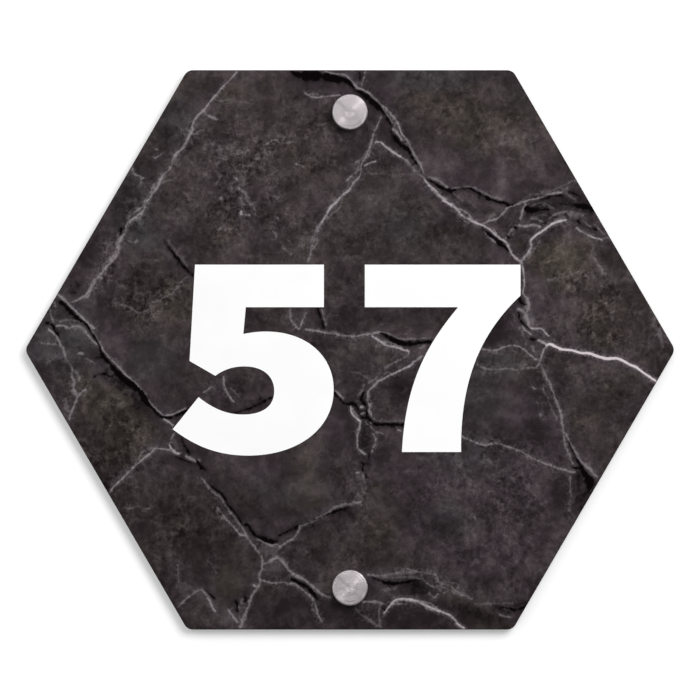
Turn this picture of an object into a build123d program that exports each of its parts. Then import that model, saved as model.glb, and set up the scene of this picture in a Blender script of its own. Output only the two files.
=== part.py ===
from build123d import *
import os

# Door name plate: a flat hexagonal plate with two numerals, held by two capped wood screws.
# Sizes are in millimetres. X is the viewer's right, Z is up, and the face looks along -Y.
# The plate's back lies on Y = 0, against the door, with its centre at the origin.

# Plate
plate_width = 200.0  # corner to corner, along X
plate_height = 172.0  # flat to flat, along Z
plate_thickness = 4.0
corner_radius = 3.0
edge_break = 0.3  # chamfer round the front and back rims

# Fixing holes, one above the other on the plate's centre line
hole_inset = 13.0  # from the upper or lower flat to the hole's centre
hole_diameter = 6.5

# Wood screw
thread_diameter = 4.0
shank_diameter = 2.9
screw_head_diameter = 7.6
head_rim = 0.2  # height of the head's straight edge, above its cone
grip_in_door = 14.5  # thread of full diameter behind the plate
screw_point_length = 3.5
thread_run_out = 0.4  # cone between the shank and the thread
recess_span = 4.2  # across the cross recess at its mouth
recess_floor_span = 1.6
recess_slot = 1.1
recess_depth = 1.9

# Flanged bush that keeps the screw and the metal off the plate
bush_flange_thickness = 0.8
bush_end_gap = 0.5  # between the end of the bush and the plate's back
bush_radial_gap = 0.1  # between the bush and the hole, all round
screw_radial_gap = 0.1  # between the thread and the bores that it passes
flange_radial_gap = 0.2  # between the bush's flange and the inside of the cap

# Threaded seat that the cap screws onto
seat_diameter = 9.0
seat_height = 2.4
seat_edge_break = 0.25
cap_thread_gap = 0.1  # radial, between the seat and the cap

# Cap
cap_diameter = 11.0
cap_roof = 0.9
cap_roof_gap = 0.3  # between the screw head and the inside of the cap
cap_dome = 0.2  # how far the front bulges at its middle
cap_shoulder_radius = 0.5
cap_mouth_break = 0.2

# Numerals, cut from film and laid on the plate's face
numeral_height = 57.6
film_thickness = 0.15
baseline_drop = 31.4  # from the plate's centre down to the foot of the numerals
five_left_edge = -54.5
seven_left_edge = 4.55

# The numerals' outlines are drawn on a grid this many units high, from foot to top
numeral_grid = 100

# Places and radii worked out from the sizes above
hole_height = plate_height / 2 - hole_inset
face_y = -plate_thickness
bush_front_y = face_y - bush_flange_thickness
seat_front_y = bush_front_y - seat_height
cap_inside_y = seat_front_y - cap_roof_gap
cap_front_y = cap_inside_y - cap_roof

thread_radius = thread_diameter / 2
shank_radius = shank_diameter / 2
screw_head_radius = screw_head_diameter / 2
screw_bore_radius = thread_radius + screw_radial_gap
bush_radius = hole_diameter / 2 - bush_radial_gap
seat_radius = seat_diameter / 2
cap_radius = cap_diameter / 2
cap_bore_radius = seat_radius + cap_thread_gap


def plate_outline():
    """Six-sided outline, as wide as the plate at mid height and half as wide at its flats."""
    half_width = plate_width / 2
    half_flat = plate_width / 4
    half_height = plate_height / 2
    return [
        (half_width, 0),
        (half_flat, half_height),
        (-half_flat, half_height),
        (-half_width, 0),
        (-half_flat, -half_height),
        (half_flat, -half_height),
    ]


def make_plate():
    with BuildPart() as plate:
        with BuildSketch(Plane.XZ):
            with BuildLine():
                Polyline(*plate_outline(), close=True)
            make_face()
            fillet(vertices(), radius=corner_radius)
        extrude(amount=plate_thickness)
        chamfer(edges().group_by(Axis.Y)[0] + edges().group_by(Axis.Y)[-1], length=edge_break)
        with Locations(Plane.XZ):
            with Locations((0, hole_height), (0, -hole_height)):
                Hole(radius=hole_diameter / 2)
    return plate.part


def turned(profile):
    """Solid of revolution about Y from (radius, y) points."""
    with BuildPart() as piece:
        with BuildSketch(Plane.XY):
            with BuildLine():
                Polyline(*profile, close=True)
            make_face()
        revolve(axis=Axis.Y)
    return piece.part


def make_bush():
    flange_radius = cap_bore_radius - flange_radial_gap
    return turned([
        (screw_bore_radius, bush_front_y),
        (flange_radius, bush_front_y),
        (flange_radius, face_y),
        (bush_radius, face_y),
        (bush_radius, -bush_end_gap),
        (screw_bore_radius, -bush_end_gap),
    ])


def make_cap_seat():
    """Ring with a countersink that takes the screw head, flush with its front."""
    mouth_radius = screw_head_radius + head_rim
    countersink_depth = mouth_radius - screw_bore_radius
    return turned([
        (mouth_radius, seat_front_y),
        (seat_radius - seat_edge_break, seat_front_y),
        (seat_radius, seat_front_y + seat_edge_break),
        (seat_radius, bush_front_y),
        (screw_bore_radius, bush_front_y),
        (screw_bore_radius, seat_front_y + countersink_depth),
    ])


def make_screw():
    """Countersunk wood screw, smooth through the plate and threaded in the door."""
    cone_top_y = seat_front_y + head_rim
    shank = turned([
        (0, seat_front_y),
        (screw_head_radius, seat_front_y),
        (screw_head_radius, cone_top_y),
        (shank_radius, cone_top_y + screw_head_radius - shank_radius),
        (shank_radius, -thread_run_out),
        (thread_radius, 0),
        (thread_radius, grip_in_door),
        (0, grip_in_door + screw_point_length),
    ])
    half_mouth, half_floor = recess_span / 2, recess_floor_span / 2
    floor_y = seat_front_y + recess_depth
    with BuildPart() as screw:
        add(shank)
        for slot_plane in (Plane.XY, Plane.ZY):
            with BuildSketch(slot_plane):
                with BuildLine():
                    Polyline((-half_mouth, seat_front_y), (half_mouth, seat_front_y),
                             (half_floor, floor_y), (-half_floor, floor_y), close=True)
                make_face()
            extrude(amount=recess_slot / 2, both=True, mode=Mode.SUBTRACT)
    return screw.part


def make_cap():
    """Hollow cap with a slightly domed front, whose rim sits on the plate's face."""
    shoulder = (cap_radius, cap_front_y + cap_dome)
    with BuildPart() as cap:
        with BuildSketch(Plane.XY):
            with BuildLine():
                TangentArc((0, cap_front_y), shoulder, tangent=(1, 0))
                Polyline(
                    shoulder,
                    (cap_radius, face_y),
                    (cap_bore_radius + cap_mouth_break, face_y),
                    (cap_bore_radius, face_y - cap_mouth_break),
                    (cap_bore_radius, cap_inside_y),
                    (0, cap_inside_y),
                    (0, cap_front_y),
                )
            make_face()
            fillet(vertices().sort_by_distance(shoulder)[0], radius=cap_shoulder_radius)
        revolve(axis=Axis.Y)
    return cap.part


def bow(start, end, level_first, fullness):
    """Quarter of an oval from start to end, level at the first or at the last of them."""
    across = (end[0] - start[0]) * fullness
    up = (end[1] - start[1]) * fullness
    if level_first:
        return Bezier(start, (start[0] + across, start[1]), (end[0], end[1] - up), end)
    return Bezier(start, (start[0], start[1] + up), (end[0] - across, end[1]), end)


def draw_seven():
    """A level bar and a leg that bends down from its right end."""
    bar_foot, bar_right, bar_end_foot = 77.3, 83.1, 83.5
    leg_foot_left, leg_foot_right, leg_top_left = 19.8, 51.4, 49.8
    Polyline((0, bar_foot), (0, numeral_grid), (bar_right, numeral_grid), (bar_right, bar_end_foot))
    Bezier((bar_right, bar_end_foot), (64.1, 65.6), (50.7, 41.5), (leg_foot_right, 0))
    Line((leg_foot_right, 0), (leg_foot_left, 0))
    Bezier((leg_foot_left, 0), (21.7, 35.6), (31.9, 55.9), (leg_top_left, bar_foot))
    Line((leg_top_left, bar_foot), (0, bar_foot))


def draw_five():
    """A level bar, a short stem down from its left end and an open bowl below."""
    bar_foot, bar_left, bar_right = 77.3, 11.9, 80.7
    stem_foot_left, stem_top_right, stem_foot_right = (9.0, 48.6), (39.0, bar_foot), (37.7, 63.0)
    bowl_top, bowl_right, bowl_foot = (49.8, 64.3), (85.9, 33.3), (40.1, -1.9)
    hook_end, hook_inside = (0, 12.2), (13.8, 29.3)
    counter_foot, counter_right, counter_top = (37.5, 20.0), (54.2, 32.6), (38.3, 45.7)
    neck = (22.7, 40.7)
    Polyline(stem_foot_left, (bar_left, numeral_grid), (bar_right, numeral_grid),
             (bar_right, bar_foot), stem_top_right, stem_foot_right)
    Bezier(stem_foot_right, (41.7, 63.8), (45.8, bowl_top[1]), bowl_top)
    bow(bowl_top, bowl_right, level_first=True, fullness=0.59)
    bow(bowl_right, bowl_foot, level_first=False, fullness=0.59)
    Bezier(bowl_foot, (23.6, bowl_foot[1]), (11.3, 3.5), hook_end)
    Line(hook_end, hook_inside)
    Bezier(hook_inside, (20.7, 23.8), (28.0, counter_foot[1]), counter_foot)
    bow(counter_foot, counter_right, level_first=True, fullness=0.64)
    bow(counter_right, counter_top, level_first=False, fullness=0.61)
    Bezier(counter_top, (32.1, counter_top[1]), (27.3, 44.0), neck)
    Line(neck, stem_foot_left)


def make_numeral(draw, left_edge):
    with BuildPart() as numeral:
        with BuildSketch(Plane.XZ.offset(plate_thickness)):
            with BuildLine():
                draw()
            make_face()
        extrude(amount=film_thickness)
    enlarged = numeral_height / numeral_grid
    return Pos(left_edge, 0, -baseline_drop) * scale(numeral.part, by=(enlarged, 1, enlarged))


parts = {
    "plate": make_plate(),
    "numeral_five": make_numeral(draw_five, five_left_edge),
    "numeral_seven": make_numeral(draw_seven, seven_left_edge),
}
fixing = {
    "bush": make_bush(),
    "cap_seat": make_cap_seat(),
    "screw": make_screw(),
    "cap": make_cap(),
}
for place, height in (("top", hole_height), ("bottom", -hole_height)):
    for name, shape in fixing.items():
        parts[f"{place}_{name}"] = Pos(0, 0, height) * shape

os.makedirs("parts", exist_ok=True)
for node, shape in parts.items():
    export_step(shape, f"parts/{node}.step")
    print(node, round(shape.volume, 1), "mm3")
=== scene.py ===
import bmesh
import bpy
import math
import numpy as np
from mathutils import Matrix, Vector, geometry, noise


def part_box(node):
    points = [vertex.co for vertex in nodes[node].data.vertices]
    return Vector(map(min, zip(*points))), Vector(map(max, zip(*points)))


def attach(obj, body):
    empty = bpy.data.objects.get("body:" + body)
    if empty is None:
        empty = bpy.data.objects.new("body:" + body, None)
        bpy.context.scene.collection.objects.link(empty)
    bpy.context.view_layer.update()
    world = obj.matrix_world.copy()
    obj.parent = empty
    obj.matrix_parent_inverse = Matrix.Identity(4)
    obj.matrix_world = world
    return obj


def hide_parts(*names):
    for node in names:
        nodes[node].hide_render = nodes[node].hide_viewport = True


# Hexagonal door name plate with a stone print, seen straight on, on a white wall.
# Metres, X right, Z up, face towards -Y. The print's tables are in photo pixels.

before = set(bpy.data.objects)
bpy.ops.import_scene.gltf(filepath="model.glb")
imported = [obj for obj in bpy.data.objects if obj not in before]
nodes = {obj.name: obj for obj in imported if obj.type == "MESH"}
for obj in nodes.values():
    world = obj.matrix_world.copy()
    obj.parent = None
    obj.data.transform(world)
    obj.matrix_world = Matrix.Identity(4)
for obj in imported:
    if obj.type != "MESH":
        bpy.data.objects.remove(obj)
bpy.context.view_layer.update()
plateLow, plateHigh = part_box("plate")
capLow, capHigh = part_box("top_cap")
faceY = plateLow.y
capHeight = (capLow.z + capHigh.z) / 2  # both caps are this far from the plate's centre
capRadius = (capHigh.x - capLow.x) / 2
millimetre = 0.001
print("frame loaded:", len(nodes), "CAD nodes")


def colour(red, green, blue):
    # from sRGB, 0 to 255
    linear = [c / 12.92 if c <= 0.04045 else ((c + 0.055) / 1.055) ** 2.4 for c in (red / 255, green / 255, blue / 255)]
    return (*linear, 1.0)


def grey(level):
    return (level, level, level, 1.0)


class Signal:
    # one output socket, so that shader maths reads as an expression
    def __init__(self, finish, socket):
        self.finish = finish
        self.socket = socket

    def maths(self, operation, *values):
        return self.finish.add("ShaderNodeMath", {"operation": operation}, dict(enumerate(values)))

    def __add__(self, other):
        return self.maths("ADD", self, other)

    def __radd__(self, other):
        return self.maths("ADD", other, self)

    def __sub__(self, other):
        return self.maths("SUBTRACT", self, other)

    def __rsub__(self, other):
        return self.maths("SUBTRACT", other, self)

    def __mul__(self, other):
        return self.maths("MULTIPLY", self, other)

    def __rmul__(self, other):
        return self.maths("MULTIPLY", other, self)

    def __abs__(self):
        return self.maths("ABSOLUTE", self)

    def root(self):
        return self.maths("SQRT", self)

    def larger(self, other):
        return self.maths("MAXIMUM", self, other)

    def smaller(self, other):
        return self.maths("MINIMUM", self, other)

    def between(self, low, high, start=0.0, end=1.0):
        # a soft step from start to end while the value goes from low to high
        return self.finish.add("ShaderNodeMapRange", {"interpolation_type": "SMOOTHSTEP"},
                               {"Value": self, "From Min": low, "From Max": high, "To Min": start, "To Max": end})


class Finish:
    # a material or the world, with its nodes
    def __init__(self, name, world=None):
        self.data = world or bpy.data.materials.new(name)
        self.data.use_nodes = True
        self.tree = self.data.node_tree
        self.tree.nodes.clear()
        self.end = self.tree.nodes.new("ShaderNodeOutputWorld" if world else "ShaderNodeOutputMaterial")

    def add(self, kind, settings=None, sockets=None, output=0):
        node = self.tree.nodes.new(kind)
        for name, value in (settings or {}).items():
            if name == "stops":
                ramp = node.color_ramp
                while len(ramp.elements) < len(value):
                    ramp.elements.new(1.0)
                for element, (place, shade) in zip(ramp.elements, value):
                    element.position = place
                    element.color = shade
            else:
                setattr(node, name, value)
        for name, value in (sockets or {}).items():
            if isinstance(value, Signal):
                self.tree.links.new(value.socket, node.inputs[name])
            else:
                node.inputs[name].default_value = value
        return Signal(self, node.outputs[output])

    def attribute(self, name):
        return self.add("ShaderNodeAttribute", {"attribute_name": name}, output="Fac")

    def place(self):
        return self.add("ShaderNodeTexCoord", output="Object")

    def axis(self, vector, letter):
        return self.add("ShaderNodeSeparateXYZ", {}, {0: vector}, output=letter)

    def vector(self, operation, first, second=None, scale=None):
        sockets = {0: first}
        if second is not None:
            sockets[1] = second
        if scale is not None:
            sockets["Scale"] = scale
        return self.add("ShaderNodeVectorMath", {"operation": operation}, sockets)

    def noise(self, where, size, detail=3.0, roughness=0.5, output="Fac"):
        # size is that of the largest lumps, in metres
        sockets = {"Vector": where, "Scale": 1 / size, "Detail": detail, "Roughness": roughness}
        return self.add("ShaderNodeTexNoise", {}, sockets, output=output)

    def mix(self, factor, first, second):
        # sockets 6 and 7 and output 2 are the Mix node's colours
        return self.add("ShaderNodeMix", {"data_type": "RGBA"}, {0: factor, 6: first, 7: second}, output=2)

    def ramp(self, factor, stops):
        return self.add("ShaderNodeValToRGB", {"stops": stops}, {0: factor}, output="Color")

    def bump(self, height, strength, distance):
        return self.add("ShaderNodeBump", {}, {"Height": height, "Strength": strength, "Distance": distance})

    def surface(self, **sockets):
        named = {name.replace("_", " ").title().replace("Ior", "IOR"): value for name, value in sockets.items()}
        self.shade(self.add("ShaderNodeBsdfPrincipled", {}, named))

    def shade(self, shader):
        self.tree.links.new(shader.socket, self.end.inputs["Surface"])


def dress(piece, finish):
    piece.data.materials.clear()
    piece.data.materials.append(finish.data)


def makeObject(name, data):
    piece = bpy.data.objects.new(name, data)
    bpy.context.scene.collection.objects.link(piece)
    return piece


view = {
    "lens": 400.0,
    "sensor": 36.0,
    "clip": 0.01,
    "plateOnPicture": 559.5,  # pixels from flat to flat
    "centre": (350.0, 349.87),  # the plate's centre, in pixels
    "picture": 700.0,
}
pixel = (plateHigh.z - plateLow.z) / view["plateOnPicture"]

cameraData = bpy.data.cameras.new("camera")
cameraData.lens = view["lens"]
cameraData.sensor_width = view["sensor"]
cameraData.clip_start = view["clip"]
camera = makeObject("camera", cameraData)
distance = view["lens"] / view["sensor"] * view["picture"] * pixel
camera.location = (0.0, faceY - distance, (view["centre"][1] - view["picture"] / 2) * pixel)
camera.rotation_euler = (math.pi / 2, 0.0, 0.0)
bpy.context.scene.camera = camera
bpy.context.scene.view_settings.view_transform = "Standard"

wallLook = {
    "size": 3.0,
    "behind": 0.0002,  # clear of the plate's back
    "paint": 0.85,
    "darker": 0.995,  # the paint's darker places, as a share of the rest
    "mottle": 0.02,
    "glow": 0.26,
}


def makeWall():
    half = wallLook["size"] / 2
    y = plateHigh.y + wallLook["behind"]
    mesh = bpy.data.meshes.new("wall")
    mesh.from_pydata([(-half, y, -half), (half, y, -half), (half, y, half), (-half, y, half)], [], [(0, 1, 2, 3)])
    wall = makeObject("wall", mesh)
    paint = Finish("wallPaint")
    mottle = paint.noise(paint.place(), wallLook["mottle"])
    tone = paint.mix(mottle.between(0.3, 0.7), grey(wallLook["paint"] * wallLook["darker"]), grey(wallLook["paint"]))
    diffuse = paint.add("ShaderNodeBsdfDiffuse", {}, {"Color": tone})
    glow = paint.add("ShaderNodeEmission", {}, {"Color": grey(1.0), "Strength": wallLook["glow"]})
    lit = paint.add("ShaderNodeAddShader", {}, {0: diffuse, 1: glow})
    clear = paint.add("ShaderNodeBsdfTransparent")
    seen = paint.add("ShaderNodeLightPath", output="Is Camera Ray")
    back = paint.add("ShaderNodeNewGeometry", output="Backfacing")
    paint.shade(paint.add("ShaderNodeMixShader", {}, {0: seen * (1 - back), 1: clear, 2: lit}))
    dress(wall, paint)


makeWall()

lights = {
    "from": Vector((0.55, -1.25, 0.54)),  # upper right, about 32 degrees off the wall's normal
    "size": 0.9,
    "power": 14.2,
    "room": 0.15,
    "upperLeft": 0.66,  # added on the room's upper left half
    "upperLeftWay": (0.65, 0.76),  # left and up, towards the middle of that half
    "upperLeftEdge": (-0.1, 0.08),
    "wallEdge": (0.0, 0.25),  # a reflection that looks this much towards the wall sees white
}


def makeLights():
    lamp = bpy.data.lights.new("key", "AREA")
    lamp.shape = "DISK"
    lamp.size = lights["size"]
    lamp.energy = lights["power"]
    key = makeObject("key", lamp)
    key.location = lights["from"]
    key.rotation_euler = (-lights["from"]).to_track_quat("-Z", "Y").to_euler()

    world = bpy.context.scene.world or bpy.data.worlds.new("room")
    bpy.context.scene.world = world
    room = Finish("room", world)
    seen = room.add("ShaderNodeLightPath", output="Is Camera Ray")
    gloss = Signal(room, seen.socket.node.outputs["Is Glossy Ray"])
    through = Signal(room, seen.socket.node.outputs["Is Transmission Ray"])
    towards = room.add("ShaderNodeTexCoord", output="Generated")
    towardWall = room.axis(towards, "Y").between(*lights["wallEdge"])
    left, up = lights["upperLeftWay"]
    upperLeft = (room.axis(towards, "Z") * up - room.axis(towards, "X") * left).between(*lights["upperLeftEdge"])
    white = seen.larger(gloss.larger(through) * towardWall)
    shown = room.add("ShaderNodeBackground", {}, {"Color": grey(1.0), "Strength": 1.0})
    strength = upperLeft * lights["upperLeft"] + lights["room"]
    lit = room.add("ShaderNodeBackground", {}, {"Color": grey(1.0), "Strength": strength})
    room.shade(room.add("ShaderNodeMixShader", {}, {0: white, 1: lit, 2: shown}))


makeLights()
print("camera, wall and lights placed")

# Black cracks: (x, y, half width) in photo pixels
cracks = {
    "northWest": [
        (291, 71, .6), (298, 74.5, 3), (306, 75.5, 4.2), (320, 76, 4.2), (334, 78, 3.4), (345, 80.5, 2.8),
        (351, 84.5, 2.3), (355, 90, 1.8), (360, 92, 2)
    ],
    "north": [
        (360, 92, 2), (366, 96.5, 3), (372.5, 101.5, 3.3), (378.5, 107.5, 3), (383, 112, 1.2), (386.5, 117, 1.1),
        (389, 121, 2.5), (391, 125, 1), (391.5, 132, 1), (394.5, 138, 2), (399.5, 143.5, 2.4), (405, 147.5, 2.5),
        (409.5, 152, 2.3), (413, 158, 1.8), (416.5, 163, 1.1), (420, 168.5, .7), (423, 173, .4)
    ],
    "topNotch": [(360, 70, .8), (360, 79, .8)],
    "east": [
        (427, 179, .6), (433.5, 182.5, 2), (439.5, 186.3, 2.8), (446, 189.3, 2.2), (452, 190.5, 1.5),
        (460, 189.3, 1.2), (469.5, 188.6, 1.2), (475, 191.5, 1.6), (481, 194.7, 1.8), (489, 198.5, 1.8),
        (496.5, 201.6, 1.4), (504, 202.4, 1.5), (508, 205, 2.2), (514, 204, .8)
    ],
    "eastBand": [(525.5, 207.5, 1.6), (529, 209.8, 3.2), (534, 210.4, 2.6), (540, 210, 1.5), (549, 209.5, .8)],
    "eastBandMiddle": [(547, 203, .5), (553, 205, 1), (560, 203.5, .9), (567, 205, .6)],
    "eastBandEnd": [(572, 204.5, .7), (577, 205.3, 2.4), (584, 206, 3), (590, 208, 3), (594, 210.5, 2.6)],
    "eastBandUpper": [(568, 192, .5), (574, 193.5, 1), (580, 197, .8)],
    "fanA": [(577.5, 221, 1.2), (580, 223.5, 1.5)],
    "fanB": [(593.5, 228, 1.3), (596, 230, 1.7)],
    "eastKnotA": [(515, 227, 1.3), (516.5, 228.5, 1.3)],
    "eastKnotB": [(507, 236, 1), (509, 238, 1)],
    "underEastVein": [(540, 200.5, .8), (549, 197, 1.3), (558, 195.5, 1.2), (562, 195, .8)],
    "underDiagonal": [
        (482, 227.5, .7), (487.2, 232.6, 1.3), (493.9, 238.2, 1.9), (498.5, 242.3, 2.3), (503.9, 246.4, 2.3),
        (508, 250.5, 1.5)
    ],
    "west": [
        (59, 301.5, 1.2), (64.3, 305, 2.3), (70.5, 312, 2.4), (76.8, 318, 2.1), (83, 321.6, 1.1), (88, 326.6, 1.2),
        (91.8, 333.5, 1.3), (96, 339.5, 1.1), (99.5, 345, .7), (101, 352, 1.4), (105, 358.5, 2.3),
        (110.5, 364.5, 2.6), (116, 371, 3), (122, 377, 3.2), (127, 381.5, 3), (133.5, 385.5, 2.8), (139.5, 391, 2.8),
        (143, 395.5, 3), (146.5, 402, 3.4), (151.5, 407.5, 2.6), (156, 413, 2), (162, 417, 1.6)
    ],
    "westArm": [(162, 417, 1.4), (170, 417.5, 1.4), (176, 415.2, 2.4), (182, 413, 2.6), (187, 410.5, 1.6)],
    "westHook": [(94, 377, .6), (98.5, 374.5, 1.1), (104, 373.7, 1.2), (108.5, 376, 1.5), (113, 377.5, 1.2)],
    "counter": [(234.5, 413, .9), (245, 410, 1.2), (256, 405.3, 1.4), (265, 400.7, 1.3), (272, 397.5, 1)],
    "leftOfFive": [
        (164, 240.5, .7), (168.5, 247, 1.1), (173, 253, 1.1), (178, 258.5, 1.1), (183, 266, 1.2), (193, 275.5, 1.4)
    ],
    "midWedge": [
        (380.5, 333, .6), (386, 335.7, 2), (392, 339.4, 2.8), (400, 342.7, 3.2), (407.5, 343.6, 3), (414, 343.6, 2.4),
        (423, 342.3, 1.7), (433, 341.5, 1.7)
    ],
    "middle": [
        (334.5, 393, 1.8), (340, 399.5, 1.4), (344.3, 402.8, 1.4), (348.5, 404, 1.6), (352, 403.6, 1.9),
        (355, 405, 2.7), (357, 407, 1.8), (358.6, 411, 1), (360, 415, 1), (362, 418, 1.4), (364.5, 418.6, .9),
        (367.5, 417.6, 2.1), (370, 419.8, 2), (373, 422.6, 1.6), (376.5, 424.2, 1.8), (383, 424.4, 1.8),
        (391, 424.5, 1.6), (398, 424.8, 1.6), (403.5, 425.4, 2)
    ],
    "middleKnot": [(364.3, 391.5, .8), (362.3, 396, 1.5), (360.9, 399, 2.1), (363.2, 402.6, 2.3), (366, 405.3, 1.2)],
    "middleKnotSide": [(366.8, 407.5, .7), (366.6, 411, 1.1), (367, 414.5, 1.2)],
    "middleKnotGap": [(359.5, 411.6, .9), (364.5, 410.5, .8)],
    "southStrand": [(369, 452.5, .8), (369.4, 456, 1.2), (368.8, 459.5, .6)],
    "southStrandLow": [(363.4, 463.5, .6), (362.7, 468.5, 1.3), (363.3, 472, .6)],
    "southStrandEnd": [(365.3, 473.5, .7), (366, 477.5, 1)],
    "underBar": [(318, 308, 1), (320.5, 317, 1.3), (323.5, 328, 1.3)],
    "belowFive": [(182, 439, 1.2), (184, 445, 1.6), (189.5, 453.5, 1.4)],
    "belowFiveLow": [(196.5, 460.5, 1), (199, 464, 2), (202, 467.3, 2.2), (205.5, 470, 1.2)],
    "belowFiveUnder": [(175, 456, .6), (182.8, 459.6, .9), (191.7, 463.2, .7)],
    "south": [
        (209, 482.5, .8), (213, 487.3, 1.3), (218.3, 491.5, 1.7), (223, 495.5, 1.5), (228.5, 505.5, 1), (236, 514, 1),
        (242.5, 524.5, 1.3), (248.5, 525.8, 1.6), (251, 530, 2), (255, 534.8, 2.2), (261, 538, 2.1),
        (267.5, 540.6, 2.2), (273.8, 542, 2.4), (277, 541.5, 1.6)
    ],
    "southUpper": [(278.8, 535.6, .8), (286.5, 532, 1), (292, 529.8, 1), (296.5, 527.5, 1.7), (298, 525, 1)],
    "bottomWest": [
        (291.5, 579, 1), (295, 580.5, 1.7), (300, 583.6, 2.2), (307.5, 587.7, 2.3), (313, 593, 1.8), (317.5, 599, .9)
    ],
    "bottomEast": [
        (372.5, 577, .7), (378.5, 580, 1.5), (386, 582.5, 2.1), (392.5, 583.7, 1.9), (401.5, 583, 1.6),
        (410.5, 581.5, 1.3), (418, 580, .6)
    ],
    "bottomKnot": [(383, 608, 1), (385, 610, 1)],
    "southBandLine": [
        (301, 524.5, .8), (312, 520.5, 1), (322, 517, 1.2), (334, 512, 1.5), (343, 509, 1.4), (350, 508, 1)
    ],
    "footKnotA": [(235.5, 601, .9), (236.8, 604.5, 1.1), (237.5, 611, .9)],
    "footKnotB": [(244.5, 596.5, 1), (246.3, 598.5, 1.6), (245, 601.5, .8)],
    "besideSevenDark": [(519.3, 298, 1.4), (520, 301, 1.8), (523.5, 303.8, 1.2), (526, 304.5, .6)],
    "farEast": [
        (568, 441, .5), (573, 452, .8), (577.5, 461, 1.2), (581.5, 467.5, 2), (584, 473.5, 2.7), (588, 479, 3.1),
        (590.5, 485, 3.5), (589, 489, 2.6)
    ],
    "farEastArm": [(572.5, 467, .8), (580, 468.8, 1.2)],
    "southEast": [(499, 606.5, .8), (507, 608, 1.8), (516, 609.5, 1.6), (525, 606.5, 2)],
    "footLine": [(205, 590, .7), (210, 594, .8), (214.6, 599, .7)],
    "knotA": [
        (518.6, 312.5, 1.3), (519.2, 316, 1.4), (520.3, 320.5, 1.2), (522, 323, .8), (526, 326.3, .7),
        (530, 329.3, .5)
    ],
    "knotB": [(531.3, 339, 2.2), (533.5, 339.3, 2.6), (535, 339.3, 1.6)],
    "knotC": [(121.5, 228, 1), (120.5, 231, 2), (121, 234, 1)],
    "knotD": [(53, 325.5, 1.4), (55, 330.5, 1.5), (57.5, 334, 2.1), (59.5, 337, .8)],
    "knotE": [(46, 322.8, 1.2), (49, 323, 1.4)],
    "westSpur": [(96, 357.5, .4), (101, 357.5, .6), (104, 358.5, .7)],
}

# Smoky dark places, softer than a crack: (x, y, half width)
smoke = {
    "southBand": [(300, 528.5, 1.2), (309.5, 525, 2), (322, 520, 2.2), (334, 513, 3.5), (343, 510, 5), (350, 509, 4)],
    "loop": [
        (362, 399, 2.5), (365, 411, 3.5), (366.5, 424, 4.2), (366.5, 437, 4.8), (366, 449, 3.5), (365, 462, 2.5)
    ],
    "bottomEast": [(403, 583, 5), (418, 587, 5), (430, 592, 3)],
    "leftShoulder": [(74, 286, 4), (80, 293, 4)],
    "eastLine": [(524, 214, 3), (545, 217, 3)],
    "eastBand": [(526, 209, 3), (545, 206, 5), (562, 202, 6), (578, 204, 5), (596, 209, 6)],
    "eastBandLow": [(535, 222, 3), (549, 219, 4)],
    "southEast": [(496, 606, 2), (508, 608, 4), (526, 606, 5)],
    "southEastRim": [(430, 606, 1), (452, 606, 2), (478, 613, 2), (500, 619, 2)],
    "southStrand": [(364, 456, 2), (365, 470, 2)],
    "besideBand": [(350, 511, 2.5), (352, 519, 1.5)],
    "farEast": [(578, 476, 5), (586, 492, 6), (580, 505, 4)],
    "wedge": [
        (463, 203.5, .8), (466.5, 206, 1.2), (471, 208.5, .8), (479, 211.8, .8), (487, 211.2, .9), (494, 210.6, .7)
    ],
    "fan": [(577, 220, 3), (590, 228, 3)],
    "westCrack": [(108, 372, 5), (130, 392, 6), (148, 412, 5)],
}

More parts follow.
